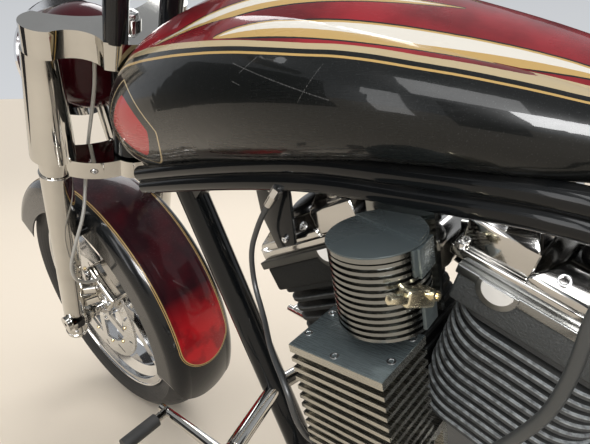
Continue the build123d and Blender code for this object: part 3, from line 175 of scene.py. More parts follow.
class Value:
    """A result in a shader tree, joined to others by plain arithmetic."""

    def __init__(self, nodes: "Nodes", socket: Socket) -> None:
        """Hold one output and the nodes that it belongs to."""
        self.nodes, self.socket = nodes, socket

    def __add__(self, other: object) -> "Value":
        """This value and another added."""
        return self.nodes.math("ADD", self, other)

    def __sub__(self, other: object) -> "Value":
        """Another value taken from this one."""
        return self.nodes.math("SUBTRACT", self, other)

    def __rsub__(self, other: object) -> "Value":
        """This value taken from another."""
        return self.nodes.math("SUBTRACT", other, self)

    def __mul__(self, other: object) -> "Value":
        """This value times another."""
        return self.nodes.math("MULTIPLY", self, other)

    def __truediv__(self, other: object) -> "Value":
        """This value over another."""
        return self.nodes.math("DIVIDE", self, other)

    def __pow__(self, other: object) -> "Value":
        """This value to a power."""
        return self.nodes.math("POWER", self, other)

    def __abs__(self) -> "Value":
        """This value without its sign."""
        return self.nodes.math("ABSOLUTE", self)

    def __gt__(self, other: object) -> "Value":
        """1 where this value is greater, else 0."""
        return self.nodes.math("GREATER_THAN", self, other)

    def __lt__(self, other: object) -> "Value":
        """1 where this value is less, else 0."""
        return self.nodes.math("LESS_THAN", self, other)

    def between(self, low: float, high: float) -> "Value":
        """1 where this value lies between two limits, else 0."""
        return (self > low) * (self < high)


class Nodes:
    """Short calls that add and join the nodes of one tree."""

    def __init__(self, tree: bpy.types.NodeTree) -> None:
        """Work on a tree."""
        self.tree = tree

    def add(self, kind: str, **settings: object) -> bpy.types.Node:
        """Add a node and set its properties.

        Args:
            kind: The node's type.
            settings: Its properties, by name.

        Returns:
            The node.
        """
        node = self.tree.nodes.new(kind)
        for name, value in settings.items():
            setattr(node, name, value)
        return node

    def feed(self, socket: Socket, value: object) -> None:
        """Link a result to a socket, or set the socket to a plain value.

        Args:
            socket: The input to feed.
            value: A result, or a plain value.
        """
        if isinstance(value, Value):
            self.tree.links.new(value.socket, socket)
        else:
            socket.default_value = value

    def result(self, node: bpy.types.Node, inputs: Iterable[tuple[int | str, object]],
               output: int | str = 0) -> Value:
        """Feed a node's inputs, each given by its key, and take one output.

        Args:
            node: The node.
            inputs: Key and value of each input.
            output: The output's key.

        Returns:
            The node's result.
        """
        for key, value in inputs:
            self.feed(node.inputs[key], value)
        return Value(self, node.outputs[output])

    def math(self, operation: str, *values: object, clamp: bool = False) -> Value:
        """One math node's result."""
        node = self.add("ShaderNodeMath", operation=operation, use_clamp=clamp)
        return self.result(node, enumerate(values))

    def larger(self, value: Value, other: object) -> Value:
        """The larger of two values."""
        return self.math("MAXIMUM", value, other)

    def reach(self, first: Value, second: Value) -> Value:
        """The length of a step that has two square parts."""
        return self.math("SQRT", first * first + second * second)

    def stretch(self, vector: Value, factors: object) -> Value:
        """A vector with each part multiplied by its factor."""
        node = self.add("ShaderNodeVectorMath", operation="MULTIPLY")
        return self.result(node, enumerate((vector, factors)))

    def split(self, vector: Value) -> tuple[Value, ...]:
        """The three parts of a vector.

        Args:
            vector: The vector.

        Returns:
            Its three parts.
        """
        node = self.add("ShaderNodeSeparateXYZ")
        self.feed(node.inputs[0], vector)
        return tuple(Value(self, output) for output in node.outputs)

    def noise(self, vector: object, scale: object, detail: float = 3.0) -> Value:
        """A noise value at a scale, in turns for each metre."""
        inputs = (("Vector", vector), ("Scale", scale), ("Detail", detail))
        return self.result(self.add("ShaderNodeTexNoise"), inputs, "Fac")

    def ramp(self, value: object, low: object, high: object, out_low: object = 0.0,
             out_high: object = 1.0) -> Value:
        """A value mapped from one range to another and held inside it."""
        names = ("Value", "From Min", "From Max", "To Min", "To Max")
        return self.result(self.add("ShaderNodeMapRange"), zip(names, (value, low, high, out_low, out_high)))

    def mix(self, factor: object, first: object, second: object) -> Value:
        """A blend of two colours.

        Args:
            factor: Share of the second colour.
            first: One colour.
            second: The other colour.

        Returns:
            The blend.
        """
        first, second = ((*item, 1.0) if isinstance(item, tuple) else item for item in (first, second))
        node = self.add("ShaderNodeMix", data_type="RGBA")
        return self.result(node, (("Factor", factor), (6, first), (7, second)), 2)

    def curve(self, value: object, points: Sequence[tuple[float, float]]) -> Value:
        """A smooth curve through points, read at a value between 0 and 1.

        Args:
            value: Where the curve is read.
            points: The curve's points, both parts between 0 and 1.

        Returns:
            The curve's height.
        """
        node = self.add("ShaderNodeFloatCurve")
        line = node.mapping.curves[0]
        while len(line.points) < len(points):
            line.points.new(0.5, 0.5)
        for dot, place in zip(line.points, points):
            dot.location = place
        node.mapping.update()
        return self.result(node, (("Value", value),))

    def moved(self, vector: Value, move: Matrix) -> Value:
        """Coordinates taken through a turn and a shift.

        Args:
            vector: The coordinates.
            move: The turn and the shift.

        Returns:
            The moved coordinates.
        """
        node = self.add("ShaderNodeMapping", vector_type="POINT")
        turn, shift = move.to_euler("XYZ"), move.to_translation()
        return self.result(node, (("Rotation", turn), ("Location", shift), ("Vector", vector)))

    def upright(self, where: Value) -> tuple[Value, ...]:
        """The three coordinates on the upright machine."""
        return self.split(self.moved(where, STANCE.back))

    def group(self, tree: bpy.types.NodeTree, **inputs: object) -> dict[str, Value]:
        """Place a node group and feed its inputs.

        Args:
            tree: The group's tree.
            inputs: Value of each input, by its name.

        Returns:
            The outputs, by their names.
        """
        node = self.add("ShaderNodeGroup", node_tree=tree)
        for name, value in inputs.items():
            self.feed(node.inputs[name], value)
        return {output.name: Value(self, output) for output in node.outputs}


# Shader groups that several finishes share


def shader_group(name: str, inputs: dict[str, str], outputs: dict[str, str],
                 build: Callable[[Nodes, dict[str, Value]], dict[str, Value]]) -> bpy.types.NodeTree:
    """Make a shader node group with named sockets, or return it if it is made.

    Args:
        name: The group's name.
        inputs: Kind of each input, by its name.
        outputs: Kind of each output, by its name.
        build: Works out the outputs from the group's nodes and its inputs.

    Returns:
        The node group.
    """
    if name in bpy.data.node_groups:
        return bpy.data.node_groups[name]
    tree = bpy.data.node_groups.new(name, "ShaderNodeTree")
    for side, sockets in (("INPUT", inputs), ("OUTPUT", outputs)):
        for label, kind in sockets.items():
            tree.interface.new_socket(name=label, in_out=side, socket_type="NodeSocket" + kind)
    nodes = Nodes(tree)
    entry, leave = nodes.add("NodeGroupInput"), nodes.add("NodeGroupOutput")
    for label, value in build(nodes, {s.name: Value(nodes, s) for s in entry.outputs}).items():
        nodes.feed(leave.inputs[label], value)
    return tree


def grain_group() -> bpy.types.NodeTree:
    """Height of a cast or crinkled skin.

    Returns:
        The group.
    """

    def build(nodes: Nodes, given: dict[str, Value]) -> dict[str, Value]:
        """Two noises of different size make the grain.

        Args:
            nodes: The group's nodes.
            given: Its inputs, by name.

        Returns:
            Its outputs, by name.
        """
        coarse = nodes.noise(given["Vector"], given["Scale"], 4.0)
        fine = nodes.noise(given["Vector"], given["Scale"] * 3.7, 2.0)
        return {"Height": coarse + fine * 0.4}

    return shader_group("cast_grain", {"Vector": "Vector", "Scale": "Float"}, {"Height": "Float"}, build)


def haze_group() -> bpy.types.NodeTree:
    """Roughness that drifts with cleaning haze and fine wiping marks.

    Returns:
        The group.
    """

    def build(nodes: Nodes, given: dict[str, Value]) -> dict[str, Value]:
        """Broad haze plus stretched marks, scaled by an amount.

        Args:
            nodes: The group's nodes.
            given: Its inputs, by name.

        Returns:
            Its outputs, by name.
        """
        broad = nodes.ramp(nodes.noise(given["Vector"], 6.0, 3.0), 0.35, 0.75)
        stretched = nodes.stretch(given["Vector"], (14.0, 60.0, 160.0))
        marks = nodes.ramp(nodes.noise(stretched, 3.0, 4.0), 0.52, 0.72)
        added = (broad + marks * 0.6) * given["Amount"]
        return {"Roughness": nodes.math("ADD", given["Base"], added, clamp=True)}

    inputs = {"Vector": "Vector", "Base": "Float", "Amount": "Float"}
    return shader_group("wiping_haze", inputs, {"Roughness": "Float"}, build)


def dust_group() -> bpy.types.NodeTree:
    """A colour with dust lying on the faces that look up.

    Returns:
        The group.
    """

    def build(nodes: Nodes, given: dict[str, Value]) -> dict[str, Value]:
        """The face's own normal and a noise say where dust lies.

        Args:
            nodes: The group's nodes.
            given: Its inputs, by name.

        Returns:
            Its outputs, by name.
        """
        up = nodes.split(nodes.result(nodes.add("ShaderNodeNewGeometry"), (), "Normal"))[2]
        patch = nodes.ramp(nodes.noise(given["Vector"], 22.0, 4.0), 0.35, 0.7)
        lying = nodes.ramp(up, 0.2, 1.0) * (patch * given["Amount"])
        return {"Colour": nodes.mix(lying, given["Colour"], (0.36, 0.33, 0.29))}

    inputs = {"Vector": "Vector", "Colour": "Color", "Amount": "Float"}
    return shader_group("settled_dust", inputs, {"Colour": "Color"}, build)


def brushed_group() -> bpy.types.NodeTree:
    """Height and roughness of metal brushed one way.

    Returns:
        The group.
    """

    def build(nodes: Nodes, given: dict[str, Value]) -> dict[str, Value]:
        """A noise stretched along the brushing."""
        lines = nodes.noise(nodes.stretch(given["Vector"], given["Stretch"]), 1400.0, 3.0)
        return {"Height": lines, "Roughness": nodes.ramp(lines, 0.3, 0.7, given["Low"], given["High"])}

    inputs = {"Vector": "Vector", "Stretch": "Vector", "Low": "Float", "High": "Float"}
    return shader_group("brushed_lines", inputs, {"Height": "Float", "Roughness": "Float"}, build)


# Finishes


def shade(colour: Colour, share: float) -> Colour:
    """A colour made darker or lighter by a share."""
    return tuple(min(1.0, part * share) for part in colour)


@dataclass(frozen=True)
class Finish:
    """A plain finish: colour, gloss, cast grain, brushing, haze and dust."""

    name: str
    colour: Colour
    metallic: float = 0.0
    roughness: float = 0.4
    coat: float = 0.0
    haze: float = 0.05
    grain: float = 0.0
    grain_scale: float = 500.0
    brush: Brush = Brush.NONE
    dust: float = 0.1
    drift: float = 0.08
    transmission: float = 0.0
    sheen: float = 0.0
    specular: float = 0.5

    BUMP_DISTANCE: ClassVar[float] = 0.0015
    COAT_ROUGHNESS: ClassVar[float] = 0.04
    COAT_INDEX: ClassVar[float] = 1.38
    SPECULAR_UNDER_COAT: ClassVar[float] = 0.12
    BRUSHED_SPREAD: ClassVar[tuple[float, float]] = (-0.08, 0.12)
    BRUSHED_LEAST: ClassVar[float] = 0.02
    BRUSHED_BUMP: ClassVar[float] = 0.03

    def build(self) -> bpy.types.Material:
        """Make the material, or return it if it is made.

        Returns:
            The material.
        """
        label = "look_" + self.name
        if label in bpy.data.materials:
            return bpy.data.materials[label]
        material = bpy.data.materials.new(label)
        material.use_nodes = True
        nodes = Nodes(material.node_tree)
        shader = material.node_tree.nodes["Principled BSDF"].inputs
        where = nodes.result(nodes.add("ShaderNodeTexCoord"), (), "Object")
        dusty = nodes.group(dust_group(), Vector=where, Colour=self.paint(nodes, where), Amount=self.dust)
        nodes.feed(shader["Base Color"], dusty["Colour"])
        nodes.feed(shader["Metallic"], self.metal(nodes, where))
        nodes.feed(shader["Roughness"], self.gloss(nodes, where))
        height, strength = self.relief(nodes, where)
        if height is not None:
            inputs = (("Height", height), ("Strength", strength), ("Distance", self.BUMP_DISTANCE))
            nodes.feed(shader["Normal"], nodes.result(nodes.add("ShaderNodeBump"), inputs, "Normal"))
        for name, value in (
                ("Specular IOR Level", self.SPECULAR_UNDER_COAT if self.coat else self.specular),
                ("Coat Weight", self.coat), ("Coat Roughness", self.COAT_ROUGHNESS),
                ("Coat IOR", self.COAT_INDEX), ("Transmission Weight", self.transmission),
                ("Sheen Weight", self.sheen)):
            shader[name].default_value = value
        return material

    def paint(self, nodes: Nodes, where: Value) -> Value:
        """The colour before dust, drifting a little in tone."""
        tone = nodes.ramp(nodes.noise(where, 9.0, 4.0), 0.3, 0.7)
        return nodes.mix(tone, shade(self.colour, 1.0 - self.drift), shade(self.colour, 1.0 + self.drift))

    def metal(self, nodes: Nodes, where: Value) -> object:
        """How metallic the surface is."""
        return self.metallic

    def brushed(self, nodes: Nodes, where: Value) -> dict[str, Value]:
        """Height and roughness of the brushing.

        Args:
            nodes: The material's nodes.
            where: Object coordinates.

        Returns:
            Both, by name.
        """
        low, high = (self.roughness + spread for spread in self.BRUSHED_SPREAD)
        return nodes.group(brushed_group(), Vector=where, Stretch=self.brush.value,
                           Low=max(self.BRUSHED_LEAST, low), High=high)

    def gloss(self, nodes: Nodes, where: Value) -> Value:
        """The roughness, from brushing or from haze.

        Args:
            nodes: The material's nodes.
            where: Object coordinates.

        Returns:
            The roughness.
        """
        if self.brush is not Brush.NONE:
            return self.brushed(nodes, where)["Roughness"]
        return nodes.group(haze_group(), Vector=where, Base=self.roughness, Amount=self.haze)["Roughness"]

    def relief(self, nodes: Nodes, where: Value) -> tuple[Value | None, float]:
        """The height that the bump reads, and its strength.

        Args:
            nodes: The material's nodes.
            where: Object coordinates.

        Returns:
            The height, if there is one, and the strength.
        """
        if self.grain:
            return nodes.group(grain_group(), Vector=where, Scale=self.grain_scale)["Height"], self.grain
        if self.brush is not Brush.NONE:
            return self.brushed(nodes, where)["Height"], self.BRUSHED_BUMP
        return None, 0.0


@dataclass(frozen=True)
class TankPaint(Finish):
    """Gloss black tank sides under a double gold stripe, candy red with tapered leaves above."""

    gold: Colour = (0.52, 0.34, 0.12)
    beige: Colour = (0.50, 0.40, 0.24)
    red: Colour = (0.30, 0.012, 0.02)
    cream: Colour = (0.74, 0.70, 0.62)
    ink: Colour = (0.012, 0.012, 0.013)
    flake: Colour = (0.055, 0.058, 0.060)
    scuff: Colour = (0.45, 0.45, 0.45)
    # Height of the thin line along the tank, as (distance, height), and the box that the curve fills
    stripe: tuple[tuple[float, float], ...] = (
        (-0.395, 0.825), (-0.420, 0.848), (-0.460, 0.871), (-0.513, 0.887), (-0.572, 0.894), (-0.634, 0.898),
        (-0.708, 0.900), (-0.776, 0.8986), (-0.822, 0.895), (-0.867, 0.890), (-0.905, 0.885), (-0.971, 0.870),
        (-1.028, 0.854), (-1.082, 0.835), (-1.160, 0.802))
    front: float = -0.38
    back: float = -1.18
    base_height: float = 0.70
    tall: float = 0.30
    # Height that one unit of width over the surface takes up, as (front, rear, there, there)
    flatter: tuple[float, float, float, float] = (-0.56, -1.08, 1.10, 0.38)
    # Edges of the thin line and of the broad band above it, as distances over the surface
    thin: tuple[float, float] = (-0.0013, 0.0013)
    broad: tuple[float, float] = (0.0062, 0.0122)
    leaf_gap: float = 0.0015
    # Fine pale flakes in the black, in turns for each metre
    flake_scale: float = 900.0
    # Slender leaves, as (front tip, rear tip, side at the front, side at the rear, bow, half width)
    leaves: tuple[tuple[float, float, float, float, float, float], ...] = (
        (-0.60, -0.965, 0.098, 0.016, 0.020, 0.0100), (-0.745, -1.110, 0.122, 0.036, 0.010, 0.0150),
        (-0.90, -1.160, 0.118, 0.074, 0.006, 0.0060))
    # A leaf's layers, as (width added on each side, outer limit as a share of the width or none, colour)
    layers: tuple[tuple[float, float | None, Colour], ...] = (
        (0.0018, None, ink), (0.0, None, gold), (-0.0022, 0.18, cream))
    # Least share of its swell that a leaf shows at
    leaf_tip: float = 0.002
    # The lozenge, as (distance along, height, half length, half height)
    lozenge_place: tuple[float, float, float, float] = (-0.545, 0.815, 0.060, 0.048)
    lozenge_red: Colour = (0.40, 0.010, 0.018)
    # Power that bows its sides, and the distance from the middle plane from which it shows
    lozenge_power: float = 1.3
    lozenge_from: float = 0.03
    # Scuffs on the black side, as (front end, slope, height there, length)
    scuffs: tuple[tuple[float, float, float, float], ...] = (
        (-0.7895, 0.314, 0.8890, 0.113), (-0.8006, -0.612, 0.8802, 0.020),
        (-0.8704, -1.29, 0.8525, 0.0228), (-0.7908, 0.35, 0.8734, 0.0115))

    def stripe_height(self, nodes: Nodes, along: Value) -> Value:
        """Height of the thin stripe at a distance along the tank.

        Args:
            nodes: The material's nodes.
            along: Distance along the machine.

        Returns:
            The height above the road.
        """
        length = self.front - self.back
        dots = [((self.front - x) / length, (z - self.base_height) / self.tall) for x, z in self.stripe]
        return nodes.curve(nodes.ramp(along, self.front, self.back), dots) * self.tall + self.base_height

    def paint(self, nodes: Nodes, where: Value) -> Value:
        """Black, stripes, red and leaves, laid over each other in the painter's order.

        Args:
            nodes: The material's nodes.
            where: Object coordinates.

        Returns:
            The colour.
        """
        x, y, z = nodes.upright(where)
        over = (z - self.stripe_height(nodes, x)) / nodes.ramp(x, *self.flatter)
        smoke = nodes.ramp(nodes.noise(where, 11.0, 5.0), 0.38, 0.60)
        red = nodes.mix(smoke, shade(self.red, 0.40), self.red)
        flakes = nodes.ramp(nodes.noise(where, self.flake_scale, 2.0), 0.62, 0.74, 0.0, 0.5)
        colour = nodes.mix(over > self.broad[1], nodes.mix(flakes, self.colour, self.flake), red)
        for edges, paint in ((self.thin, self.gold), (self.broad, self.beige)):
            colour = nodes.mix(over.between(*edges), colour, paint)
        above = over > self.broad[1] + self.leaf_gap
        for row in self.leaves:
            colour = self.leaf(nodes, colour, (x, abs(y), above), row)
        colour = self.lozenge(nodes, colour, (x, abs(y), z))
        return self.scratches(nodes, colour, x, z)

    def leaf(self, nodes: Nodes, colour: Value, place: tuple[Value, Value, Value],
             row: tuple[float, ...]) -> Value:
        """Lay one slender leaf, pointed at both ends, over a colour.

        Args:
            nodes: The material's nodes.
            colour: The colour underneath.
            place: Distance along the machine and from its middle plane, and 1 above the stripes.
            row: One row of the table of leaves.

        Returns:
            The colour with a dark outline, a gold lower half and a cream upper half on it.
        """
        x, side, above = place
        front, rear, side_front, side_rear, bow, half = row
        along = nodes.ramp(x, front, rear)
        swell = along * (1.0 - along) * 4.0
        across = side - (nodes.ramp(along, 0.0, 1.0, side_front, side_rear) + swell * bow)
        width = swell ** 0.8 * half
        for extra, limit, paint in self.layers:
            near = (abs(across) < width + extra) * (swell > self.leaf_tip)
            if limit is not None:
                near = near * (across < width * limit)
            colour = nodes.mix(near * above, colour, paint)
        return colour

    def lozenge(self, nodes: Nodes, colour: Value, place: tuple[Value, Value, Value]) -> Value:
        """A plain pointed lozenge with a thin gold outline on each side of the nose.

        Args:
            nodes: The material's nodes.
            colour: The colour underneath.
            place: Distance along the machine, from its middle plane and above the road.

        Returns:
            The colour with the lozenge on it.
        """
        x, side, z = place
        along, height, half_length, half_height = self.lozenge_place
        across, upward = abs((x - along) / half_length), abs((z - height) / half_height)
        reach = across ** self.lozenge_power + upward ** self.lozenge_power
        for limit, paint in ((1.36, self.beige), (1.30, self.colour), (0.86, self.lozenge_red)):
            colour = nodes.mix((reach < limit) * (side > self.lozenge_from), colour, paint)
        return colour

    def scratches(self, nodes: Nodes, colour: Value, x: Value, z: Value) -> Value:
        """Fine pale scuffs on the black side.

        Args:
            nodes: The material's nodes.
            colour: The colour underneath.
            x: Distance along the machine.
            z: Height above the road.

        Returns:
            The colour with the scuffs on it.
        """
        broken = nodes.ramp(nodes.noise(x * 900.0, 1.0, 3.0), 0.42, 0.62, 0.0, 0.38)
        for start, slope, height, length in self.scuffs:
            along = start - x
            thin = nodes.ramp(abs(z - (height - along * slope)), 0.0001, 0.0006, 1.0, 0.0)
            colour = nodes.mix(thin * along.between(0.0, length) * broken, colour, self.scuff)
        return colour


@dataclass(frozen=True)
class FenderPaint(Finish):
    """Black fender edges round a smoky candy red panel with a double gold line and round ends, its red
    painted brighter toward its rear end as painted light.
    """

    axle: Point = MACHINE.front_axle
    radius: float = 0.346
    # Angles between which the panel runs, and from which it turns from smoky to bright as painted light
    # falling on that end
    start: float = 44.24
    stop: float = 182.8
    bright: tuple[float, float] = (163.0, 178.0)
    # The panel's half width, and the edges of its two lines outside it
    panel: float = 0.0605
    lines: tuple[tuple[float, float], ...] = ((-0.0005, 0.0018), (0.0034, 0.0048))
    gold: Colour = (0.50, 0.33, 0.13)
    smoky: Colour = (0.022, 0.006, 0.009)
    red: Colour = (0.060, 0.006, 0.010)
    painted_light_red: Colour = (0.52, 0.012, 0.018)

    def paint(self, nodes: Nodes, where: Value) -> Value:
        """The panel's outline follows the fender's own, a set distance inside it.

        Args:
            nodes: The material's nodes.
            where: Object coordinates.

        Returns:
            The colour.
        """
        x, y, z = nodes.upright(where)
        ahead, above = x - self.axle[0], z - self.axle[2]
        start, stop, *bright = (math.radians(angle) for angle in (self.start, self.stop, *self.bright))
        angle = nodes.math("ARCTAN2", above * -1.0, ahead * -1.0) + math.pi
        past = nodes.larger(angle - stop, start - angle)
        reach = nodes.reach(y, nodes.larger(past, 0.0) * self.radius)
        smoke = nodes.ramp(nodes.noise(where, 13.0, 5.0), 0.44, 0.68)
        # Painted light: past these angles the red is painted brighter, standing in for light falling on the
        # panel's rear end
        painted_light = nodes.ramp(angle, *bright) * nodes.ramp(smoke, 0.0, 0.35, 0.55, 1.0)
        red = nodes.mix(painted_light, nodes.mix(smoke, self.smoky, self.red), self.painted_light_red)
        colour = nodes.mix(reach < self.panel, self.colour, red)
        for low, high in self.lines:
            colour = nodes.mix(reach.between(self.panel + low, self.panel + high), colour, self.gold)
        return colour


@dataclass(frozen=True)
class FinMetal(Finish):
    """Black crinkle cylinder metal whose fin edges are machined bright, each brightest at its upper corner as
    a painted highlight.
    """

    side: int = 1
    half_length: float = 0.090
    half_width: float = 0.082
    corner: float = 0.050
    first_fin: float = 0.176
    last_fin: float = 0.3362
    fin_pitch: float = 0.0146
    fin_thickness: float = 0.0050
    # The bright edge, machined metal and painted highlight: its width, the share of it that shows, and its
    # colour
    edge: float = 0.0035
    bare: float = 1.0
    bright: Colour = (0.48, 0.51, 0.52)
    bright_metal: float = 0.8

    def edge_and_highlight_mask(self, nodes: Nodes, where: Value) -> Value:
        """The upper corner of each fin, a painted highlight, and faintly the rest of its machined edge.

        Args:
            nodes: The material's nodes.
            where: Object coordinates.

        Returns:
            The mask, scaled by the share that shows.
        """
        x, y, z = nodes.split(nodes.moved(where, MACHINE.bank(self.side).inverted() @ STANCE.back))
        over = [nodes.larger(abs(part) - (half - self.corner), 0.0)
                for part, half in ((x, self.half_length), (y, self.half_width))]
        rim = nodes.reach(*over) > self.corner - self.edge
        height = nodes.math("FRACT", (z - self.first_fin) / self.fin_pitch) * self.fin_pitch
        # Painted highlight: the edge is painted brightest along the fin's upper corner
        corner = nodes.ramp(height, self.fin_thickness - 0.0014, self.fin_thickness - 0.0006, 0.10, 1.0)
        worn = nodes.ramp(nodes.noise(where, 160.0, 4.0), 0.25, 0.6, 0.15, 1.0)
        return (z < self.last_fin) * rim * corner * worn * self.bare

    def paint(self, nodes: Nodes, where: Value) -> Value:
        """Black skin with bright edges."""
        return nodes.mix(self.edge_and_highlight_mask(nodes, where), self.colour, self.bright)

    def metal(self, nodes: Nodes, where: Value) -> Value:
        """Bright edges are bare metal."""
        return self.edge_and_highlight_mask(nodes, where) * self.bright_metal


@dataclass(frozen=True)
class HoseSkin(Finish):
    """Dark satin on the thick hose, a darker skin on the thin cable ahead of it."""

    cable_colour: Colour = (0.045, 0.047, 0.049)
    cable_from: float = -0.90

    def paint(self, nodes: Nodes, where: Value) -> Value:
        """The cable's colour ahead of the line between the two."""
        return nodes.mix(nodes.upright(where)[0] > self.cable_from, self.colour, self.cable_colour)


@dataclass(frozen=True)
class TyreRubber(Finish):
    """Black rubber with a cut tread on the crown and fine rings on the sides."""

    axle: Point = MACHINE.front_axle
    crown: float = 0.300
    # Slanted cuts round the crown, their slant and the plain strip between them
    cuts: int = 46
    slant: float = 95.0
    strip: float = 0.018
    # Distances of the ring grooves from the middle
    grooves: tuple[float, ...] = (0.012, 0.036)
    side_rings: float = 900.0
    side_below_crown: float = 0.022
    depth: float = 0.9

    def relief(self, nodes: Nodes, where: Value) -> tuple[Value | None, float]:
        """Slanted cuts and ring grooves, from the angle about the axle and the distance from the middle.

        Args:
            nodes: The material's nodes.
            where: Object coordinates.

        Returns:
            The height, and the bump's strength.
        """
        x, y, z = nodes.upright(where)
        ahead, above, side = x - self.axle[0], z - self.axle[2], abs(y)
        radius = nodes.reach(ahead, above)
        turn = nodes.math("ARCTAN2", above, ahead) * self.cuts + side * self.slant
        cut = nodes.larger(nodes.ramp(nodes.math("SINE", turn), 0.62, 0.80, 1.0, 0.0), side < self.strip)
        for groove in self.grooves:
            cut = cut * nodes.ramp(abs(side - groove), 0.0012, 0.0026)
        tread = nodes.larger(cut, radius < self.crown)
        rings = nodes.ramp(nodes.math("SINE", radius * self.side_rings), 0.2, 0.9, 0.0, 0.12)
        return tread + rings * (radius < self.crown - self.side_below_crown), self.depth


@dataclass(frozen=True)
class Leather(Finish):
    """Soft black leather with pebbled grain and dark creases."""

    pebbles: float = 420.0
    depth: float = 0.35

    def relief(self, nodes: Nodes, where: Value) -> tuple[Value | None, float]:
        """Cells of a fine grain with broad soft creases.

        Args:
            nodes: The material's nodes.
            where: Object coordinates.

        Returns:
            The height, and the bump's strength.
        """
        cells = nodes.add("ShaderNodeTexVoronoi", feature="DISTANCE_TO_EDGE")
        distance = nodes.result(cells, (("Vector", where), ("Scale", self.pebbles)), "Distance")
        return nodes.ramp(distance, 0.0, 0.12) * 0.5 + nodes.noise(where, 26.0, 4.0) * 0.6, self.depth


def metal(name: str, colour: Colour, roughness: float, haze: float = 0.10, **more: object) -> Finish:
    """A finish of bare metal."""
    return Finish(name, colour, metallic=1.0, roughness=roughness, haze=haze, **more)


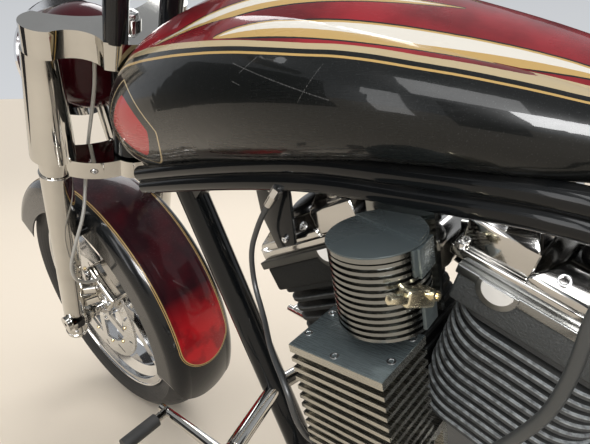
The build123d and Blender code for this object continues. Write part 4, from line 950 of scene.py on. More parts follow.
class Paints:
    """Every finish on the machine, each made once."""

    tyre_front = TyreRubber("front_tyre_rubber", (0.018, 0.018, 0.019), roughness=0.34, haze=0.18, dust=0.08,
                            specular=0.3)
    tyre_rear = replace(tyre_front, name="rear_tyre_rubber", axle=MACHINE.rear_axle, crown=0.296, cuts=52,
                        grooves=(0.020, 0.062))
    chrome = metal("polished_chrome", (0.585, 0.570, 0.535), 0.035, 0.05, dust=0.05)
    wheel_chrome = metal("wheel_chrome", (0.76, 0.76, 0.76), 0.06)
    disc_steel = metal("disc_steel", (0.62, 0.62, 0.61), 0.20, dust=0.05)
    engine_chrome = metal("engine_chrome", (0.52, 0.51, 0.49), 0.07, 0.14, dust=0.12)
    exhaust = metal("exhaust_chrome", (0.74, 0.71, 0.66), 0.06, drift=0.1)
    cooler = metal("machined_cooler", (0.44, 0.43, 0.385), 0.24, brush=Brush.ALONG, dust=0.15, drift=0.15)
    drum = metal("turned_drum", (0.24, 0.245, 0.235), 0.15, dust=0.06)
    # Painted reflection: a dark bluish colour, darker than the drum, that stands in for the tank's dark
    # underside and cool light mirrored in the lid; the drum wall's plates take it too
    drum_lid = Finish("drum_lid", (0.105, 0.128, 0.133), metallic=0.4, roughness=0.24, haze=0.12, dust=0.04)
    # Painted reflection: a dark bluish colour, darker than the cooler, that stands in for the tank's dark
    # underside and cool light mirrored in the top plate
    cooler_plate = Finish("cooler_plate", (0.165, 0.200, 0.207), metallic=0.6, roughness=0.26,
                          brush=Brush.ALONG, dust=0.05)
    pale_brass = metal("pale_brass", (0.66, 0.60, 0.44), 0.22, 0.12, drift=0.2)
    brass = metal("brass_fitting", (0.62, 0.50, 0.28), 0.26, 0.12, drift=0.2)
    screw = metal("screw_steel", (0.60, 0.60, 0.60), 0.20)
    flange = metal("satin_flange", (0.26, 0.265, 0.26), 0.24, 0.12, grain=0.03)
    # Painted shade: the front head's flange is a darker copy of the satin flange
    flange_front_shaded = metal("front_flange_painted_shade", (0.07, 0.072, 0.070), 0.34, 0.12, grain=0.1)
    reflector = metal("lamp_reflector", (0.86, 0.86, 0.87), 0.05, 0.03)
    mirror = metal("mirror_glass", (0.86, 0.87, 0.88), 0.015, 0.02, dust=0.03)
    # Painted highlight: near-white, almost non-metal colour that makes the heads' windows read as a bright
    # shine
    window_highlight_paint = Finish("window_painted_highlight", (0.95, 0.95, 0.93), metallic=0.1, roughness=0.20)
    cast_grey = Finish("cast_grey", (0.17, 0.17, 0.17), metallic=0.75, roughness=0.46, haze=0.10, grain=0.35,
                       grain_scale=420.0, dust=0.2)
    riser_black = Finish("riser_black", (0.010, 0.011, 0.013), roughness=0.12, coat=0.8)
    frame_black = Finish("frame_black", (0.006, 0.007, 0.008), roughness=0.16, coat=0.55, haze=0.06,
                         dust=0.05)
    cap_black = Finish("cap_black", (0.006, 0.006, 0.007), roughness=0.22)
    tank = TankPaint("tank_paint", (0.006, 0.007, 0.007), roughness=0.24, coat=0.70, haze=0.10, dust=0.02)
    front_fender = FenderPaint("front_fender_paint", (0.008, 0.009, 0.010), roughness=0.2, coat=0.6,
                               haze=0.08, dust=0.03)
    # The rear fender's painted light lies between 120 and 160 degrees
    rear_fender = replace(front_fender, name="rear_fender_paint", axle=MACHINE.rear_axle, radius=0.352,
                          start=40.0, stop=151.5, panel=0.105, bright=(120.0, 160.0))
    lamp_red = Finish("candy_red_lamp", (0.040, 0.004, 0.007), roughness=0.14, coat=0.3, drift=0.3, dust=0.02)
    red_lens = Finish("red_lens", (0.42, 0.010, 0.012), roughness=0.10, coat=0.8, haze=0.02)
    # Painted shade: the front cylinder is a darker copy of the rear's black, with dimmer bright edges
    fins_front_shaded = FinMetal("front_cylinder_painted_shade", (0.009, 0.010, 0.010), roughness=0.52, haze=0.14,
                          grain=0.55, grain_scale=700.0, dust=0.03, bare=0.2, specular=0.15)
    fins_rear = FinMetal("rear_cylinder_black", (0.018, 0.020, 0.021), roughness=0.48, haze=0.14, grain=0.55,
                         grain_scale=700.0, side=-1)
    rough_rear = Finish("rear_cheek_black", (0.048, 0.054, 0.056), roughness=0.46, haze=0.10, grain=1.0,
                        grain_scale=420.0, dust=0.05)
    # Painted shade: the front head's cheeks are a darker copy of the rear's
    rough_front_shaded = Finish("front_cheek_painted_shade", (0.008, 0.009, 0.009), roughness=0.5, haze=0.10, grain=0.8,
                         grain_scale=420.0, dust=0.02, specular=0.15)
    rubber = Finish("ribbed_rubber", (0.020, 0.020, 0.020), roughness=0.55, grain=0.15, grain_scale=900.0)
    boot = Finish("plug_boot", (0.016, 0.016, 0.017), roughness=0.34)
    belt = Finish("belt_rubber", (0.020, 0.020, 0.021), roughness=0.60, grain=0.1)
    hose = HoseSkin("dark_hose", (0.055, 0.059, 0.060), roughness=0.32, haze=0.08, grain=0.06,
                    grain_scale=1200.0)
    grey_hose = Finish("grey_hose", (0.42, 0.41, 0.38), roughness=0.35, haze=0.08)
    leather = Leather("seat_leather", (0.020, 0.018, 0.017), roughness=0.42, haze=0.14, sheen=0.1)
    glass = Finish("clear_glass", (0.94, 0.96, 0.97), roughness=0.03, transmission=1.0, haze=0.01, dust=0.02)
    plate = Finish("blank_plate", (0.66, 0.66, 0.64), roughness=0.40, haze=0.08, dust=0.2)


# Making pieces with the modelling operators


def facing(way: Sequence[float]) -> Quaternion:
    """The turn that makes a piece's Z look one way."""
    return Vector(way).to_track_quat("Z", "Y")


def standing(point: Sequence[float], way: Sequence[float]) -> Matrix:
    """The place of a piece that stands on a point and looks one way."""
    return Matrix.Translation(point) @ facing(way).to_matrix().to_4x4()


def round_point(centre: Sequence[float], radius: float, degrees: float, left: float) -> Vector:
    """A point on a circle about the left axis, at an angle up from straight ahead."""
    angle = math.radians(degrees)
    return Vector((centre[0] + radius * math.cos(angle), left, centre[2] + radius * math.sin(angle)))


def round_spots(centre: Sequence[float], left: float, radius: float, count: int, way: int,
                start: float = 0.0) -> list[Spot]:
    """Spots on a circle about the left axis, all looking to one side.

    Args:
        centre: The circle's centre, of which the side distance is ignored.
        left: Distance to the left of the middle plane.
        radius: The circle's radius.
        count: How many spots.
        way: 1 if they look left, -1 if they look right.
        start: Angle of the first, in degrees up from straight ahead.

    Returns:
        Each spot's point and direction.
    """
    return [(round_point(centre, radius, start + 360.0 / count * index, left), (0.0, float(way), 0.0))
            for index in range(count)]


@contextmanager
def editing(piece: Piece, picked: Callable[[bmesh.types.BMFace], bool] = lambda face: True) -> Iterator[None]:
    """Work on a piece in edit mode, with the faces that a test picks selected.

    Args:
        piece: The piece.
        picked: The test of a face.
    """
    Bench.take(piece)
    bpy.ops.object.mode_set(mode="EDIT")
    bpy.ops.mesh.select_mode(type="FACE")
    bpy.ops.mesh.select_all(action="DESELECT")
    for face in bmesh.from_edit_mesh(piece.data).faces:
        face.select_set(picked(face))
    bmesh.update_edit_mesh(piece.data)
    yield
    bpy.ops.object.mode_set(mode="OBJECT")


class Bench:
    """Makes each piece upright and shapes it in edit mode, ready to be set into the leaned model."""

    SMOOTH_ANGLE: ClassVar[float] = 35.0
    SAME_WAY: ClassVar[float] = 0.98

    @staticmethod
    def clear() -> None:
        """Leave edit mode and deselect everything."""
        if bpy.context.object and bpy.context.object.mode != "OBJECT":
            bpy.ops.object.mode_set(mode="OBJECT")
        bpy.ops.object.select_all(action="DESELECT")

    @staticmethod
    def take(piece: Piece) -> None:
        """Make one piece the only selected and active one.

        Args:
            piece: The piece.
        """
        Bench.clear()
        piece.select_set(True)
        bpy.context.view_layer.objects.active = piece

    @staticmethod
    def made(soft: Sequence[float]) -> Piece:
        """Settle the newly added piece.

        Args:
            soft: Width, segments and angle of the rounding, empty for none.

        Returns:
            The piece, with its place in its mesh.
        """
        piece = bpy.context.object
        bpy.ops.object.transform_apply(location=True, rotation=True, scale=True)
        if soft:
            Bench.soften(piece, *soft)
        return piece

    @staticmethod
    def rod(start: Sequence[float], end: Sequence[float], radius: float, end_radius: float | None = None,
            sides: int = 32, soft: Sequence[float] = ()) -> Piece:
        """A round or many-sided rod between two points.

        Args:
            start: Middle of one end.
            end: Middle of the other end.
            radius: Radius at the start.
            end_radius: Radius at the end, if it differs.
            sides: How many sides it has.
            soft: Width, segments and angle of the rounding, if there is one.

        Returns:
            The rod.
        """
        start, end = Vector(start), Vector(end)
        Bench.clear()
        bpy.ops.mesh.primitive_cone_add(
            vertices=sides, radius1=radius, radius2=radius if end_radius is None else end_radius,
            depth=(end - start).length, location=(start + end) / 2, rotation=facing(end - start).to_euler())
        return Bench.made(soft)

    @staticmethod
    def block(centre: Sequence[float], size: Sequence[float], soft: Sequence[float] = ()) -> Piece:
        """A box about a centre.

        Args:
            centre: Its middle.
            size: Its three lengths.
            soft: Width, segments and angle of the rounding, if there is one.

        Returns:
            The box.
        """
        Bench.clear()
        bpy.ops.mesh.primitive_cube_add(size=1.0, location=centre)
        bpy.context.object.scale = size
        return Bench.made(soft)

    @staticmethod
    def ring(centre: Sequence[float], axis: Sequence[float], radius: float, thickness: float,
             around: int = 48, across: int = 12) -> Piece:
        """A round ring about an axis.

        Args:
            centre: Its middle.
            axis: The axis that it runs round.
            radius: Radius of its middle line.
            thickness: Radius of its section.
            around: Segments along the ring.
            across: Segments round the section.

        Returns:
            The ring.
        """
        Bench.clear()
        bpy.ops.mesh.primitive_torus_add(
            major_radius=radius, minor_radius=thickness, major_segments=around, minor_segments=across,
            location=centre, rotation=facing(axis).to_euler())
        return Bench.made(())

    @staticmethod
    def inset_end(piece: Piece, axis: Sequence[float], border: float, depth: float) -> Piece:
        """Inset the end face that looks along an axis and push the inner face in or out.

        Args:
            piece: The piece to work on.
            axis: The direction that the end face looks.
            border: Width left round the inset face.
            depth: How far the inner face moves along the axis, negative for a recess.

        Returns:
            The piece.
        """
        axis = Vector(axis).normalized()
        far = max(Vector(polygon.center).dot(axis) for polygon in piece.data.polygons)

        def at_end(face: bmesh.types.BMFace) -> bool:
            """Whether a face is the farthest one and looks along the axis."""
            reach = face.calc_center_median().dot(axis)
            return abs(reach - far) < 1e-5 and face.normal.dot(axis) > Bench.SAME_WAY

        with editing(piece, at_end):
            bpy.ops.mesh.inset(thickness=border)
            bpy.ops.mesh.extrude_region_move(TRANSFORM_OT_translate={"value": axis * depth})
        return piece

    @staticmethod
    def slope_end(piece: Piece, axis: Sequence[float], border: float, depth: float) -> None:
        """Raise the end face that looks along an axis on sloping sides, drawn in by a border.

        Args:
            piece: The piece to work on.
            axis: The direction that the end face looks.
            border: How far the raised face is drawn in.
            depth: How far it is raised.
        """
        with editing(piece, lambda face: face.normal.dot(Vector(axis)) > Bench.SAME_WAY):
            bpy.ops.mesh.inset(thickness=border, depth=depth)

    @staticmethod
    def cut(piece: Piece, point: Sequence[float], normal: Sequence[float]) -> None:
        """Cut away what lies beyond a plane and close the cut."""
        with editing(piece):
            bpy.ops.mesh.bisect(plane_co=point, plane_no=normal, use_fill=True, clear_outer=True)

    @staticmethod
    def turned(place: Matrix, *pieces: Piece) -> list[Piece]:
        """Move the meshes of pieces to a place.

        Args:
            place: The place.
            pieces: The pieces.

        Returns:
            The pieces.
        """
        for piece in pieces:
            piece.data.transform(place)
        return list(pieces)

    @staticmethod
    def modify(piece: Piece, kind: str, **settings: object) -> None:
        """Give a piece a modifier and apply it.

        Args:
            piece: The piece.
            kind: The modifier's type.
            settings: Its settings, by name.
        """
        Bench.take(piece)
        modifier = piece.modifiers.new(kind.lower(), kind)
        for name, value in settings.items():
            setattr(modifier, name, value)
        bpy.ops.object.modifier_apply(modifier=modifier.name)

    @staticmethod
    def soften(piece: Piece, width: float, segments: int = 2, angle: float = SMOOTH_ANGLE) -> None:
        """Round the sharp edges with an applied bevel, and shade smooth by angle."""
        Bench.modify(piece, "BEVEL", width=width, segments=segments, angle_limit=math.radians(angle))
        bpy.ops.object.shade_smooth_by_angle(angle=math.radians(angle))

    @staticmethod
    def join(name: str, pieces: Sequence[Piece]) -> Piece:
        """Join pieces that share a finish and a body into one.

        Args:
            name: The joined piece's name.
            pieces: The pieces, of which the first takes up the others.

        Returns:
            The joined piece.
        """
        Bench.clear()
        for piece in pieces:
            piece.select_set(True)
        bpy.context.view_layer.objects.active = pieces[0]
        if len(pieces) > 1:
            bpy.ops.object.join()
        pieces[0].name = name
        return pieces[0]

    @staticmethod
    def copies(model: Piece, places: Iterable[Matrix]) -> list[Piece]:
        """Copy a model that was made at the origin, and remove it.

        Args:
            model: The model.
            places: The place of each copy.

        Returns:
            The copies, each with its own mesh.
        """
        made = []
        for place in places:
            twin = model.copy()
            twin.data = model.data.copy()
            bpy.context.scene.collection.objects.link(twin)
            made += Bench.turned(place, twin)
        bpy.data.objects.remove(model)
        return made


@dataclass
class Screw:
    """A screw head standing on the origin, looking up +Z."""

    radius: float
    head: Head = Head.SOCKET
    washer: float = 0.0

    # How deep a head is sunk, and a socket's border and depth, edges and washer as shares of the radius
    SUNK: ClassVar[Point] = (0, 0, -0.001)
    BORDER: ClassVar[float] = 0.42
    SOCKET_DEPTH: ClassVar[float] = 0.6
    ROUNDING: ClassVar[float] = 0.12
    WASHER_HEIGHT: ClassVar[float] = 0.22

    def model(self) -> Piece:
        """Shape the head once, ready to be copied.

        Returns:
            The head, with its washer if it has one.
        """
        sides, height, end = self.head.value
        height *= self.radius
        head = Bench.rod(self.SUNK, (0, 0, height), self.radius, self.radius * end, sides)
        if self.head is Head.SOCKET:
            Bench.inset_end(head, UP, self.radius * self.BORDER, -height * self.SOCKET_DEPTH)
        Bench.soften(head, self.radius * self.ROUNDING)
        if self.washer:
            plate = Bench.rod(self.SUNK, (0, 0, self.radius * self.WASHER_HEIGHT), self.washer, None, 24,
                              (self.radius * self.ROUNDING / 2, 1))
            head = Bench.join("screw_model", [head, plate])
        return head


# Sub-assemblies


class SubAssembly(ABC):
    """Pieces on one body, with the finishes of its nodes."""

    body: ClassVar[Body]
    slot: ClassVar[str]

    @abstractmethod
    def nodes(self) -> dict[str, Finish]:
        """The finish of each CAD node."""

    @abstractmethod
    def details(self) -> Sequence[Callable[[], None]]:
        """What makes the small parts, in order."""

    def dress(self) -> None:
        """Give the nodes their finishes, then make the small parts."""
        for node, finish in self.nodes().items():
            materials = frame["nodes"][node].data.materials
            materials.clear()
            materials.append(finish.build())
        for make in self.details():
            make()
        log.info("%s dressed", type(self).__name__)

    def add(self, name: str, pieces: Sequence[Piece], finish: Finish, slot: str | None = None) -> Piece:
        """Join upright pieces, set them into the leaned model, dress them and let them ride on the body.

        Args:
            name: Name of the joined piece.
            pieces: The pieces, in the upright machine's metres.
            finish: Their finish.
            slot: The record's material slot, if it isn't the sub-assembly's own; not used.

        Returns:
            The joined piece.
        """
        piece = Bench.join(name, pieces)
        Bench.take(piece)
        bpy.ops.object.shade_smooth_by_angle(angle=math.radians(Bench.SMOOTH_ANGLE))
        piece.data.transform(STANCE.matrix)
        piece.data.update()
        piece.data.materials.clear()
        piece.data.materials.append(finish.build())
        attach(piece, self.body.value)
        log.info("%s rides on %s", piece.name, self.body.value)
        return piece

    def screws(self, name: str, screw: Screw, spots: Iterable[Spot], finish: Finish = Paints.screw,
               slot: str | None = None) -> None:
        """Set copies of a screw's head at spots.

        Args:
            name: Name of the joined heads.
            screw: The screw.
            spots: Point and looking direction of each head.
            finish: Their finish.
            slot: The record's material slot, if it isn't the sub-assembly's own; passed on to add, which does
                not use it.
        """
        places = [standing(point, way) for point, way in spots]
        self.add(name, Bench.copies(screw.model(), places), finish, slot)


@dataclass
class Wheel(SubAssembly):
    """One wheel's finishes, disc bolts, rivets, rim lips and valve stem."""

    name: str
    body: Body
    axle: Point
    rubber: Finish
    disc_face: float
    lip_left: float
    # Rows round the disc, as (circle's radius, count, first angle, screw's radius)
    bolts: tuple[float, int, float, float] = (0.034, 5, 36.0, 0.0048)
    rivets: tuple[float, int, float, float] = (0.107, 10, 18.0, 0.0055)
    rivets_sunk: float = 0.0005
    lip_radius: float = 0.2405
    lip_thickness: float = 0.0032
    # The valve stem's root from the axle, and its run inward
    stem_root: Point = (0.196, 0.012, 0.0)
    stem_run: Point = (-0.030, 0.004, 0.0)

    slot: ClassVar[str] = "wheel_chrome"

    def nodes(self) -> dict[str, Finish]:
        """The finish of each CAD node."""
        return {self.name + "_tyre": self.rubber, self.name + "_rim": Paints.wheel_chrome,
                self.name + "_disc": Paints.disc_steel, self.name + "_axle": Paints.chrome}

    def details(self) -> Sequence[Callable[[], None]]:
        """What makes the small parts, in order."""
        return self.disc_screws, self.rim_lips, self.valve_stem

    def disc_screws(self) -> None:
        """The disc's bolts on the hub and the rivets of its band."""
        circle, count, first, radius = self.bolts
        bolts = round_spots(self.axle, self.disc_face, circle, count, 1, first)
        self.screws(self.name + "_disc_bolts", Screw(radius, Head.HEXAGON), bolts)
        circle, count, first, radius = self.rivets
        rivets = round_spots(self.axle, self.disc_face - self.rivets_sunk, circle, count, 1, first)
        self.screws(self.name + "_disc_rivets", Screw(radius, Head.DOME), rivets, Paints.brass, "disc_steel")

    def rim_lips(self) -> None:
        """A rolled lip on both edges of the rim."""
        lips = [Bench.ring((self.axle[0], side * self.lip_left, self.axle[2]), LEFT, self.lip_radius,
                           self.lip_thickness, 96, 10) for side in SIDES]
        self.add(self.name + "_rim_lips", lips, Paints.wheel_chrome)

    def valve_stem(self) -> None:
        """A rubber valve stem inside the rim."""
        root = Vector(self.axle) + Vector(self.stem_root)
        stem = Bench.rod(root, root + Vector(self.stem_run), 0.0042, 0.0034, 20, (0.0008,))
        self.add(self.name + "_valve_stem", [stem], Paints.rubber, "grip_rubber")


@dataclass
class Fork(SubAssembly):
    """Finishes of the fork, its lamp and its bars, with screws, seals, rubber rings and mirror glass."""

    leg_ahead: float = 0.062
    leg_left: float = 0.120
    lower_clamp: float = 0.808
    clamp_screw_left: float = 0.078
    nut_foot: float = 1.085
    nut_height: float = 0.009
    foot_face: float = 0.0115
    foot_screw_up: float = 0.0305
    # The riser clamps, as distances along the fork, and their screws from there
    riser: Point = (-0.045, 0.050, 1.245)
    riser_screw: tuple[float, float] = (0.008, 0.0125)
    # Seal rings on each leg, as (distance up the fork, radius)
    seals: tuple[tuple[float, float], ...] = ((0.7865, 0.0288), (0.284, 0.0242))
    seal_thickness: float = 0.0014
    # The grip's end and direction, and its rings, as (first, pitch, count)
    bar_end: Point = (-0.6933, 0.400, 1.1271)
    bar_inward: Point = (0.6833, -0.7288, 0.0429)
    grip_rows: tuple[float, float, int] = (0.004, 0.0135, 9)
    grip_ring: tuple[float, float] = (0.0176, 0.0016)
    mirror_centre: Point = (-0.5735, 0.3636, 1.2721)
    mirror_normal: Point = (0.9656, -0.2414, 0.0966)
    mirror_face: float = 0.0068
    # The glass, as (thickness, radius, end radius), and its rim, as (radius, thickness)
    mirror_size: Point = (0.0009, 0.043, 0.042)
    mirror_rim: tuple[float, float] = (0.0455, 0.0022)
    # The lamp's middle along the fork, its face ahead of it, its bowl and its glass
    lamp: Point = (0.132, 0.0, 0.955)
    lamp_face: float = 0.0537
    bowl_radius: float = 0.078
    glass_radius: float = 0.2628
    glass_rise: float = 0.012
    glass_wall: float = 0.003
    # The caliper's face, and circle and angles of its piston caps and of its screws
    caliper_face: float = 0.088
    caps: tuple[float, tuple[float, ...]] = (0.136, (126.0, 150.0))
    caliper_bolts: tuple[float, tuple[float, ...]] = (0.151, (121.0, 138.0, 155.0))

    body: ClassVar[Body] = Body.FORK
    slot: ClassVar[str] = "fork_chrome"

    def nodes(self) -> dict[str, Finish]:
        """The finish of each CAD node."""
        polished = ("fork_legs", "fork_covers", "handlebar", "hand_levers", "headlamp_bezel", "lower_clamp",
                    "top_clamp", "front_caliper")
        return {**dict.fromkeys(polished, Paints.chrome), "risers": Paints.riser_black,
                "grips": Paints.rubber, "headlamp_shell": Paints.lamp_red,
                "front_fender": Paints.front_fender, "brake_hose": Paints.grey_hose}

    def details(self) -> Sequence[Callable[[], None]]:
        """What makes the small parts, in order."""
        return (self.stem_nut, self.clamp_screws, self.seal_rings, self.grip_rings, self.headlamp_glass,
                self.mirror_glass, self.caliper_details)

    def stem_nut(self) -> None:
        """The nut of the stem on the top clamp."""
        up = MACHINE.fork_axes()[1]
        foot = MACHINE.on_fork(0.0, 0.0, self.nut_foot)
        nut = Bench.rod(foot, foot + up * self.nut_height, 0.015, 0.0135, 6, (0.0012,))
        self.add("stem_nut", [Bench.inset_end(nut, up, 0.006, -0.004)], Paints.screw)

    def clamp_screws(self) -> None:
        """Pinch screws of the lower clamp and of the axle feet, and the risers' screws."""
        ahead = MACHINE.fork_axes()[0]
        clamps = [(MACHINE.on_fork(0.004, side * self.clamp_screw_left, self.lower_clamp), -ahead)
                  for side in SIDES]
        self.screws("lower_clamp_screws", Screw(0.0052), clamps)
        foot, axle_height = self.leg_left + self.foot_face, MACHINE.front_axle[2]
        feet = [((0.0, side * foot, axle_height + up), (0, side, 0))
                for side in SIDES for up in (self.foot_screw_up, -self.foot_screw_up)]
        self.screws("axle_pinch_screws", Screw(0.0050), feet)
        back, left, up = self.riser
        along, above = self.riser_screw
        risers = [(MACHINE.on_fork(back, side * left, up) + Vector((along * way, 0, above)),
                   (0.3 * way, 0, 1)) for side in SIDES for way in SIDES]
        self.screws("riser_clamp_screws", Screw(0.0042), risers)

    def seal_rings(self) -> None:
        """Seal lips where each leg leaves the lower clamp and a ring low on the slider."""
        up = MACHINE.fork_axes()[1]
        rings = [Bench.ring(MACHINE.on_fork(self.leg_ahead, side * self.leg_left, level), up, radius,
                            self.seal_thickness, 64, 10) for side in SIDES for level, radius in self.seals]
        self.add("fork_seal_rings", rings, Paints.engine_chrome)

    def grip_rings(self) -> None:
        """Raised rings along both grips."""
        rings, (first, pitch, count) = [], self.grip_rows
        end, inward = Vector(self.bar_end), Vector(self.bar_inward)
        for mirror in (Vector((1, side, 1)) for side in SIDES):
            for index in range(count):
                centre = (end + inward * (first + pitch * index)) * mirror
                rings.append(Bench.ring(centre, inward * mirror, *self.grip_ring, 40, 8))
        self.add("grip_rings", rings, Paints.rubber, "grip_rubber")

    def headlamp_glass(self) -> None:
        """A thin curved glass over a bright bowl and a bulb cap, in place of the solid lens."""
        face = MACHINE.on_fork(*self.lamp) + Vector((self.lamp_face, 0, 0))
        Bench.clear()
        bpy.ops.mesh.primitive_uv_sphere_add(
            segments=64, ring_count=32, radius=self.glass_radius, rotation=(0, math.pi / 2, 0),
            location=face + Vector((self.glass_rise - self.glass_radius, 0, 0)))
        glass = Bench.made(())
        with editing(glass):
            bpy.ops.mesh.bisect(plane_co=face, plane_no=AHEAD, clear_inner=True)
        Bench.modify(glass, "SOLIDIFY", thickness=self.glass_wall, offset=-1.0)
        self.add("headlamp_glass", [glass], Paints.glass, "lamp_glass")
        bowl = Bench.rod(face - Vector((0.017, 0, 0)), face - Vector((0.001, 0, 0)), self.bowl_radius * 0.55,
                         self.bowl_radius, 64)
        Bench.inset_end(bowl, AHEAD, 0.004, -0.002)
        Bench.inset_end(bowl, AHEAD, self.bowl_radius * 0.42, -0.011)
        self.add("headlamp_bowl", [bowl], Paints.reflector)
        cap = Bench.rod(face - Vector((0.015, 0, 0)), face - Vector((0.002, 0, 0)), 0.013, 0.010, 32,
                        (0.003, 3))
        self.add("headlamp_bulb", [cap], Paints.glass, "lamp_glass")
        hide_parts("headlamp_lens")

    def mirror_glass(self) -> None:
        """The glass on the back of each mirror, inside a rim."""
        glasses, rims, (thick, wide, narrow) = [], [], self.mirror_size
        for flip in (Vector((1, side, 1)) for side in SIDES):
            normal = -(Vector(self.mirror_normal) * flip)
            centre = Vector(self.mirror_centre) * flip + normal * self.mirror_face
            glasses.append(Bench.rod(centre, centre + normal * thick, wide, narrow, 48))
            rims.append(Bench.ring(centre, normal, *self.mirror_rim, 64, 10))
        self.add("mirror_faces", glasses, Paints.mirror)
        self.add("mirror_rims", rims, Paints.chrome)

    def caliper_details(self) -> None:
        """Piston caps and bridge bolts on the front caliper."""
        caps, (radius, angles) = [], self.caps
        for angle in angles:
            spot = round_point(MACHINE.front_axle, radius, angle, self.caliper_face)
            cap = Bench.rod(spot - Vector((0, 0.002, 0)), spot + Vector((0, 0.0035, 0)), 0.0165, 0.0150, 40)
            caps.append(Bench.inset_end(cap, LEFT, 0.004, -0.0015))
        self.add("front_piston_caps", caps, Paints.engine_chrome)
        radius, angles = self.caliper_bolts
        spots = [(round_point(MACHINE.front_axle, radius, angle, self.caliper_face), LEFT)
                 for angle in angles]
        self.screws("front_caliper_screws", Screw(0.0045), spots)


@dataclass
class Engine(SubAssembly):
    """Finishes of the engine, with rocker covers, heads' cheeks, screws, plugs, drum and cooler fittings."""

    # The rocker covers, by distances up the bore and away from the machine's middle
    rocker_start: float = 0.3866
    rocker_shift: float = 0.0125
    box_from: float = 0.034
    box_to: float = 0.1035
    deck_to: float = 0.080
    deck_overlap: float = 0.004
    shoulder_rise: float = 0.019
    # Size of a cover's base plate, and its two halves as (height, width, middle, drawn in by, rounding)
    base_plate: Point = (0.191, 0.152, 0.012)
    tall_half: tuple[float, ...] = (0.032, 0.142, 0.027, 0.014, 0.0032)
    low_half: tuple[float, ...] = (0.010, 0.148, 0.016, 0.021, 0.0030)
    base_rounding: float = 0.0025
    rounded_from: float = 25.0
    base_screw: Point = (0.088, 0.0735, 0.012)
    # The heads' sides: height of cheek, flange and window, and where the windows sit
    cheek_up: float = 0.3600
    flange_up: float = 0.3822
    flange_top: float = 0.3872
    window_up: float = 0.3842
    window_top: float = 0.3862
    window_along: float = 0.051
    plug: Point = (0.050, -0.065, 0.362)
    # Covers on both sides, as distances from the middle plane, and the clutch's middle
    primary_face: float = 0.138
    cam_face: float = -0.1018
    filter_face: float = -0.1638
    filter_height: float = 0.628
    clutch_x: float = -1.186
    # The cooler's top plate and its screws
    cooler_top: float = 0.620
    cooler_middle: tuple[float, float] = (-0.906, 0.162)
    cooler_spots: tuple[tuple[float, float], ...] = (
        (-0.857, 0.176), (-0.903, 0.192), (-0.954, 0.172), (-0.857, 0.136), (-0.954, 0.134))
    drum_centre: tuple[float, float] = (-0.925, 0.132)
    drum_radius: float = 0.047
    # Plain plates on the drum's wall, as (angle, foot, top, width)
    drum_walls: tuple[tuple[float, float, float, float], ...] = (
        (186.0, 0.697, 0.7262, 0.030), (184.0, 0.642, 0.668, 0.024), (166.0, 0.700, 0.7262, 0.006))
    # Where the hose and the cable end, as (point, direction of their run, radius)
    hose_fittings: tuple[tuple[Point, Point, float], ...] = (
        ((-1.150, 0.104, 0.752), (0.52, 0.85, 0.0), 0.0085),
        ((-0.980, 0.112, 0.384), (0.07, 0.40, 0.91), 0.0085),
        ((-0.850, 0.116, 0.386), (0.25, 0.62, 0.74), 0.0060),
        ((-0.775, 0.104, 0.742), (0.62, 0.17, -0.76), 0.0060))
    # Cuts that taper the coil's bracket, as (point, direction), and its screws
    bracket_cuts: tuple[tuple[Point, Point], ...] = (
        ((-0.7695, 0, 0.662), (-0.35, 0, -0.94)), ((-0.7372, 0, 0.650), (0.93, 0, -0.36)),
        ((-0.7700, 0, 0.672), (-0.98, 0, -0.10)))
    bracket_screws: tuple[Point, ...] = ((-0.7480, 0.0885, 0.735), (-0.7560, 0.0885, 0.668))

    body: ClassVar[Body] = Body.CHASSIS
    slot: ClassVar[str] = "engine_chrome"

    def nodes(self) -> dict[str, Finish]:
        """The finish of each CAD node."""
        polished = ("rocker_boxes", "cam_cover", "air_cleaner", "primary_cover")
        return {**dict.fromkeys(polished, Paints.engine_chrome), "crankcase": Paints.cast_grey,
                "gearbox": Paints.cast_grey, "front_cylinder": Paints.fins_front_shaded,
                "rear_cylinder": Paints.fins_rear, "engine_mounts": Paints.frame_black,
                "finned_drum": Paints.drum, "finned_cooler": Paints.cooler, "front_exhaust": Paints.exhaust,
                "rear_exhaust": Paints.exhaust, "drive_belt": Paints.belt, "wheel_pulley": Paints.cooler,
                "engine_hoses": Paints.hose}

    def details(self) -> Sequence[Callable[[], None]]:
        """What makes the small parts, in order."""
        return (self.rockers, self.rocker_screws, self.head_cheeks, self.rocker_fittings, self.plugs,
                self.cover_screws, self.cooler_plate, self.drum_lid, self.drum_fitting, self.hose_ends,
                self.coil_bracket, self.intake_elbow)

    def rockers(self) -> None:
        """Rocker boxes, a tall inner half on sloping shoulders and a low chamfered deck on a base plate."""
        pieces, start = [], self.rocker_start
        inner, outer, far = self.box_from, self.box_to, self.deck_to
        for side in SIDES:
            foot = (-side * self.rocker_shift, 0, start + self.base_plate[2] / 2)
            parts = [Bench.block(foot, self.base_plate, (self.base_rounding, 3))]
            spans = ((-side * (inner + outer) / 2, outer - inner, self.tall_half),
                     (-side * (inner - far) / 2, inner + far + self.deck_overlap, self.low_half))
            for middle, length, (tall, wide, up, border, rounding) in spans:
                half = Bench.block((middle, 0, start + up), (length, wide, tall))
                Bench.slope_end(half, UP, border, self.shoulder_rise)
                Bench.soften(half, rounding, 3, self.rounded_from)
                parts.append(half)
            pieces += Bench.turned(MACHINE.bank(side), *parts)
        shell = self.add("rocker_covers", pieces, Paints.engine_chrome)
        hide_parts("rocker_boxes")

    def rocker_screws(self) -> None:
        """Screws along both long sides of each base plate."""
        spots, (along, left, up) = [], self.base_screw
        for side in SIDES:
            shift = Vector((-side * self.rocker_shift, 0, self.rocker_start + up))
            place = MACHINE.bank(side) @ Matrix.Translation(shift)
            spots += [(place @ Vector((end * along, wall * left, 0)), place.to_3x3() @ Vector(UP))
                      for wall in SIDES for end in SIDES]
        self.screws("rocker_base_screws", Screw(0.0050), spots)

